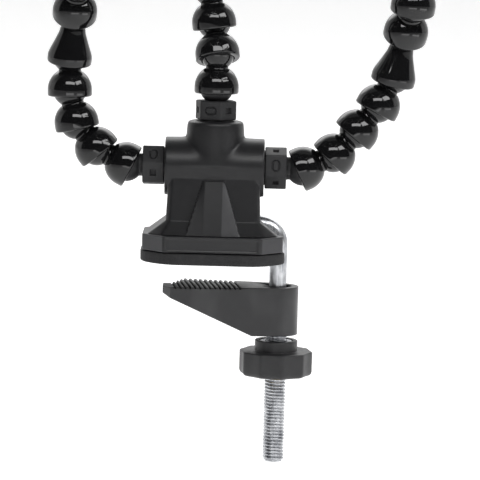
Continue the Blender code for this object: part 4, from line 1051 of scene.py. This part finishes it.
def makeFloor():
    # a level floor that curves up into a backdrop far behind
    x = np.array([-studio["size"], studio["size"]])
    turn = np.radians(np.linspace(0.0, 90.0, 24))
    start, bend = studio["curveStart"], studio["curve"]
    run = np.concatenate([[-studio["size"]], start + bend * np.sin(turn), [start + bend]])
    rise = np.concatenate([[0.0], bend * (1.0 - np.cos(turn)), [studio["size"]]]) + studio["floor"]
    points = np.stack([x[None, :] + 0.0 * run[:, None], run[:, None] + 0.0 * x[None, :],
                       rise[:, None] + 0.0 * x[None, :]], -1)
    rows = len(run)
    faces = [[row * 2, row * 2 + 1, row * 2 + 3, row * 2 + 2] for row in range(rows - 1)]
    mesh = bpy.data.meshes.new("studio_floor")
    mesh.from_pydata(points.reshape(-1, 3).tolist(), [], faces)
    mesh.shade_smooth()
    made, shader, place, uv = newFinish("paleFloor")
    plug(shader, "Base Color", tint(noise(place, 3.0), (0.93, 0.93, 0.93), (0.96, 0.96, 0.96)))
    shader.inputs["Roughness"].default_value = 0.9
    # the table is lit from below, less towards its front edge
    plug(shader, "Emission Color", ramp(axisOf(place, 1) + 0.5, 0.25, 0.55, 0.45, 1.0))
    shader.inputs["Emission Strength"].default_value = studio["tableGlow"]
    mesh.materials.append(made)
    floor = linked("studio_floor", mesh)


def softbox(name, place, target, size, power):
    # a rectangle of light that the camera doesn't see
    light = bpy.data.lights.new(name, "AREA")
    light.shape = "RECTANGLE"
    light.size, light.size_y = size
    light.energy = power
    made = linked(name, light)
    made.location = place
    made.rotation_euler = (Vector(target) - Vector(place)).to_track_quat("-Z", "Y").to_euler()
    made.visible_camera = False


def makeStudio():
    # white cloth behind and round the left, a dark room in front and overhead, and soft lamps
    world = bpy.data.worlds.new("studio")
    world.use_nodes = True
    background = world.node_tree.nodes["Background"]
    background.inputs["Color"].default_value = (1.0, 1.0, 1.0, 1.0)
    tree = world.node_tree
    rays = Wire(tree, tree.nodes.new("ShaderNodeLightPath").outputs["Is Camera Ray"])
    way = Wire(tree, tree.nodes.new("ShaderNodeTexCoord").outputs["Generated"])
    across, behind, above = (axisOf(way, axis) for axis in range(3))
    cloth = ramp(behind - across * 0.03 + 0.09, 0.0, 0.12) * ramp(above, 0.30, 0.75, 1.0, 0.25)
    lit = cloth * (studio["bright"] - studio["dim"]) + studio["dim"]
    plug(background, "Strength", rays * (studio["seen"] - lit) + lit)
    bpy.context.scene.world = world
    aim = (0.01, 0.0, 0.05)
    softbox("front_panel", (0.01, -0.48, 0.45), aim, (0.50, 0.15), 1.5)
    softbox("right_panel", (0.40, -0.27, 0.45), aim, (0.36, 0.20), 1.5)
    softbox("low_front_panel", (0.01, -0.62, -0.030), aim, (0.46, 0.07), 0.20)
    softbox("low_right_panel", (0.46, -0.32, -0.030), aim, (0.36, 0.07), 0.16)
    softbox("back_box", (0.0, 1.35, 1.1), (0.0, 0.3, 0.0), (2.4, 1.0), 13.0)


view = {"elevation": 7.0, "roll": 1.5, "distance": 1.0, "lens": 200.0, "sensor": 36.0, "farthest": 20.0,
        "centre": (10.2 * mm, 0.0, 7.66 * mm)}


def makeCamera():
    camera = bpy.data.cameras.new("camera")
    camera.lens = view["lens"]
    camera.sensor_width = view["sensor"]
    camera.clip_end = view["farthest"]
    made = linked("camera", camera)
    rise = math.radians(view["elevation"])
    back = Vector((0.0, -math.cos(rise), math.sin(rise)))
    centre = Vector(view["centre"])
    aimed = (-back).to_track_quat("-Z", "Y").to_matrix().to_4x4()
    rolled = Matrix.Rotation(math.radians(view["roll"]), 4, "Z")
    made.matrix_world = Matrix.Translation(centre + back * view["distance"]) @ aimed @ rolled
    bpy.context.scene.camera = made


makeFloor()
makeStudio()
makeCamera()
bpy.context.scene.view_settings.view_transform = "Standard"
print("studio made")
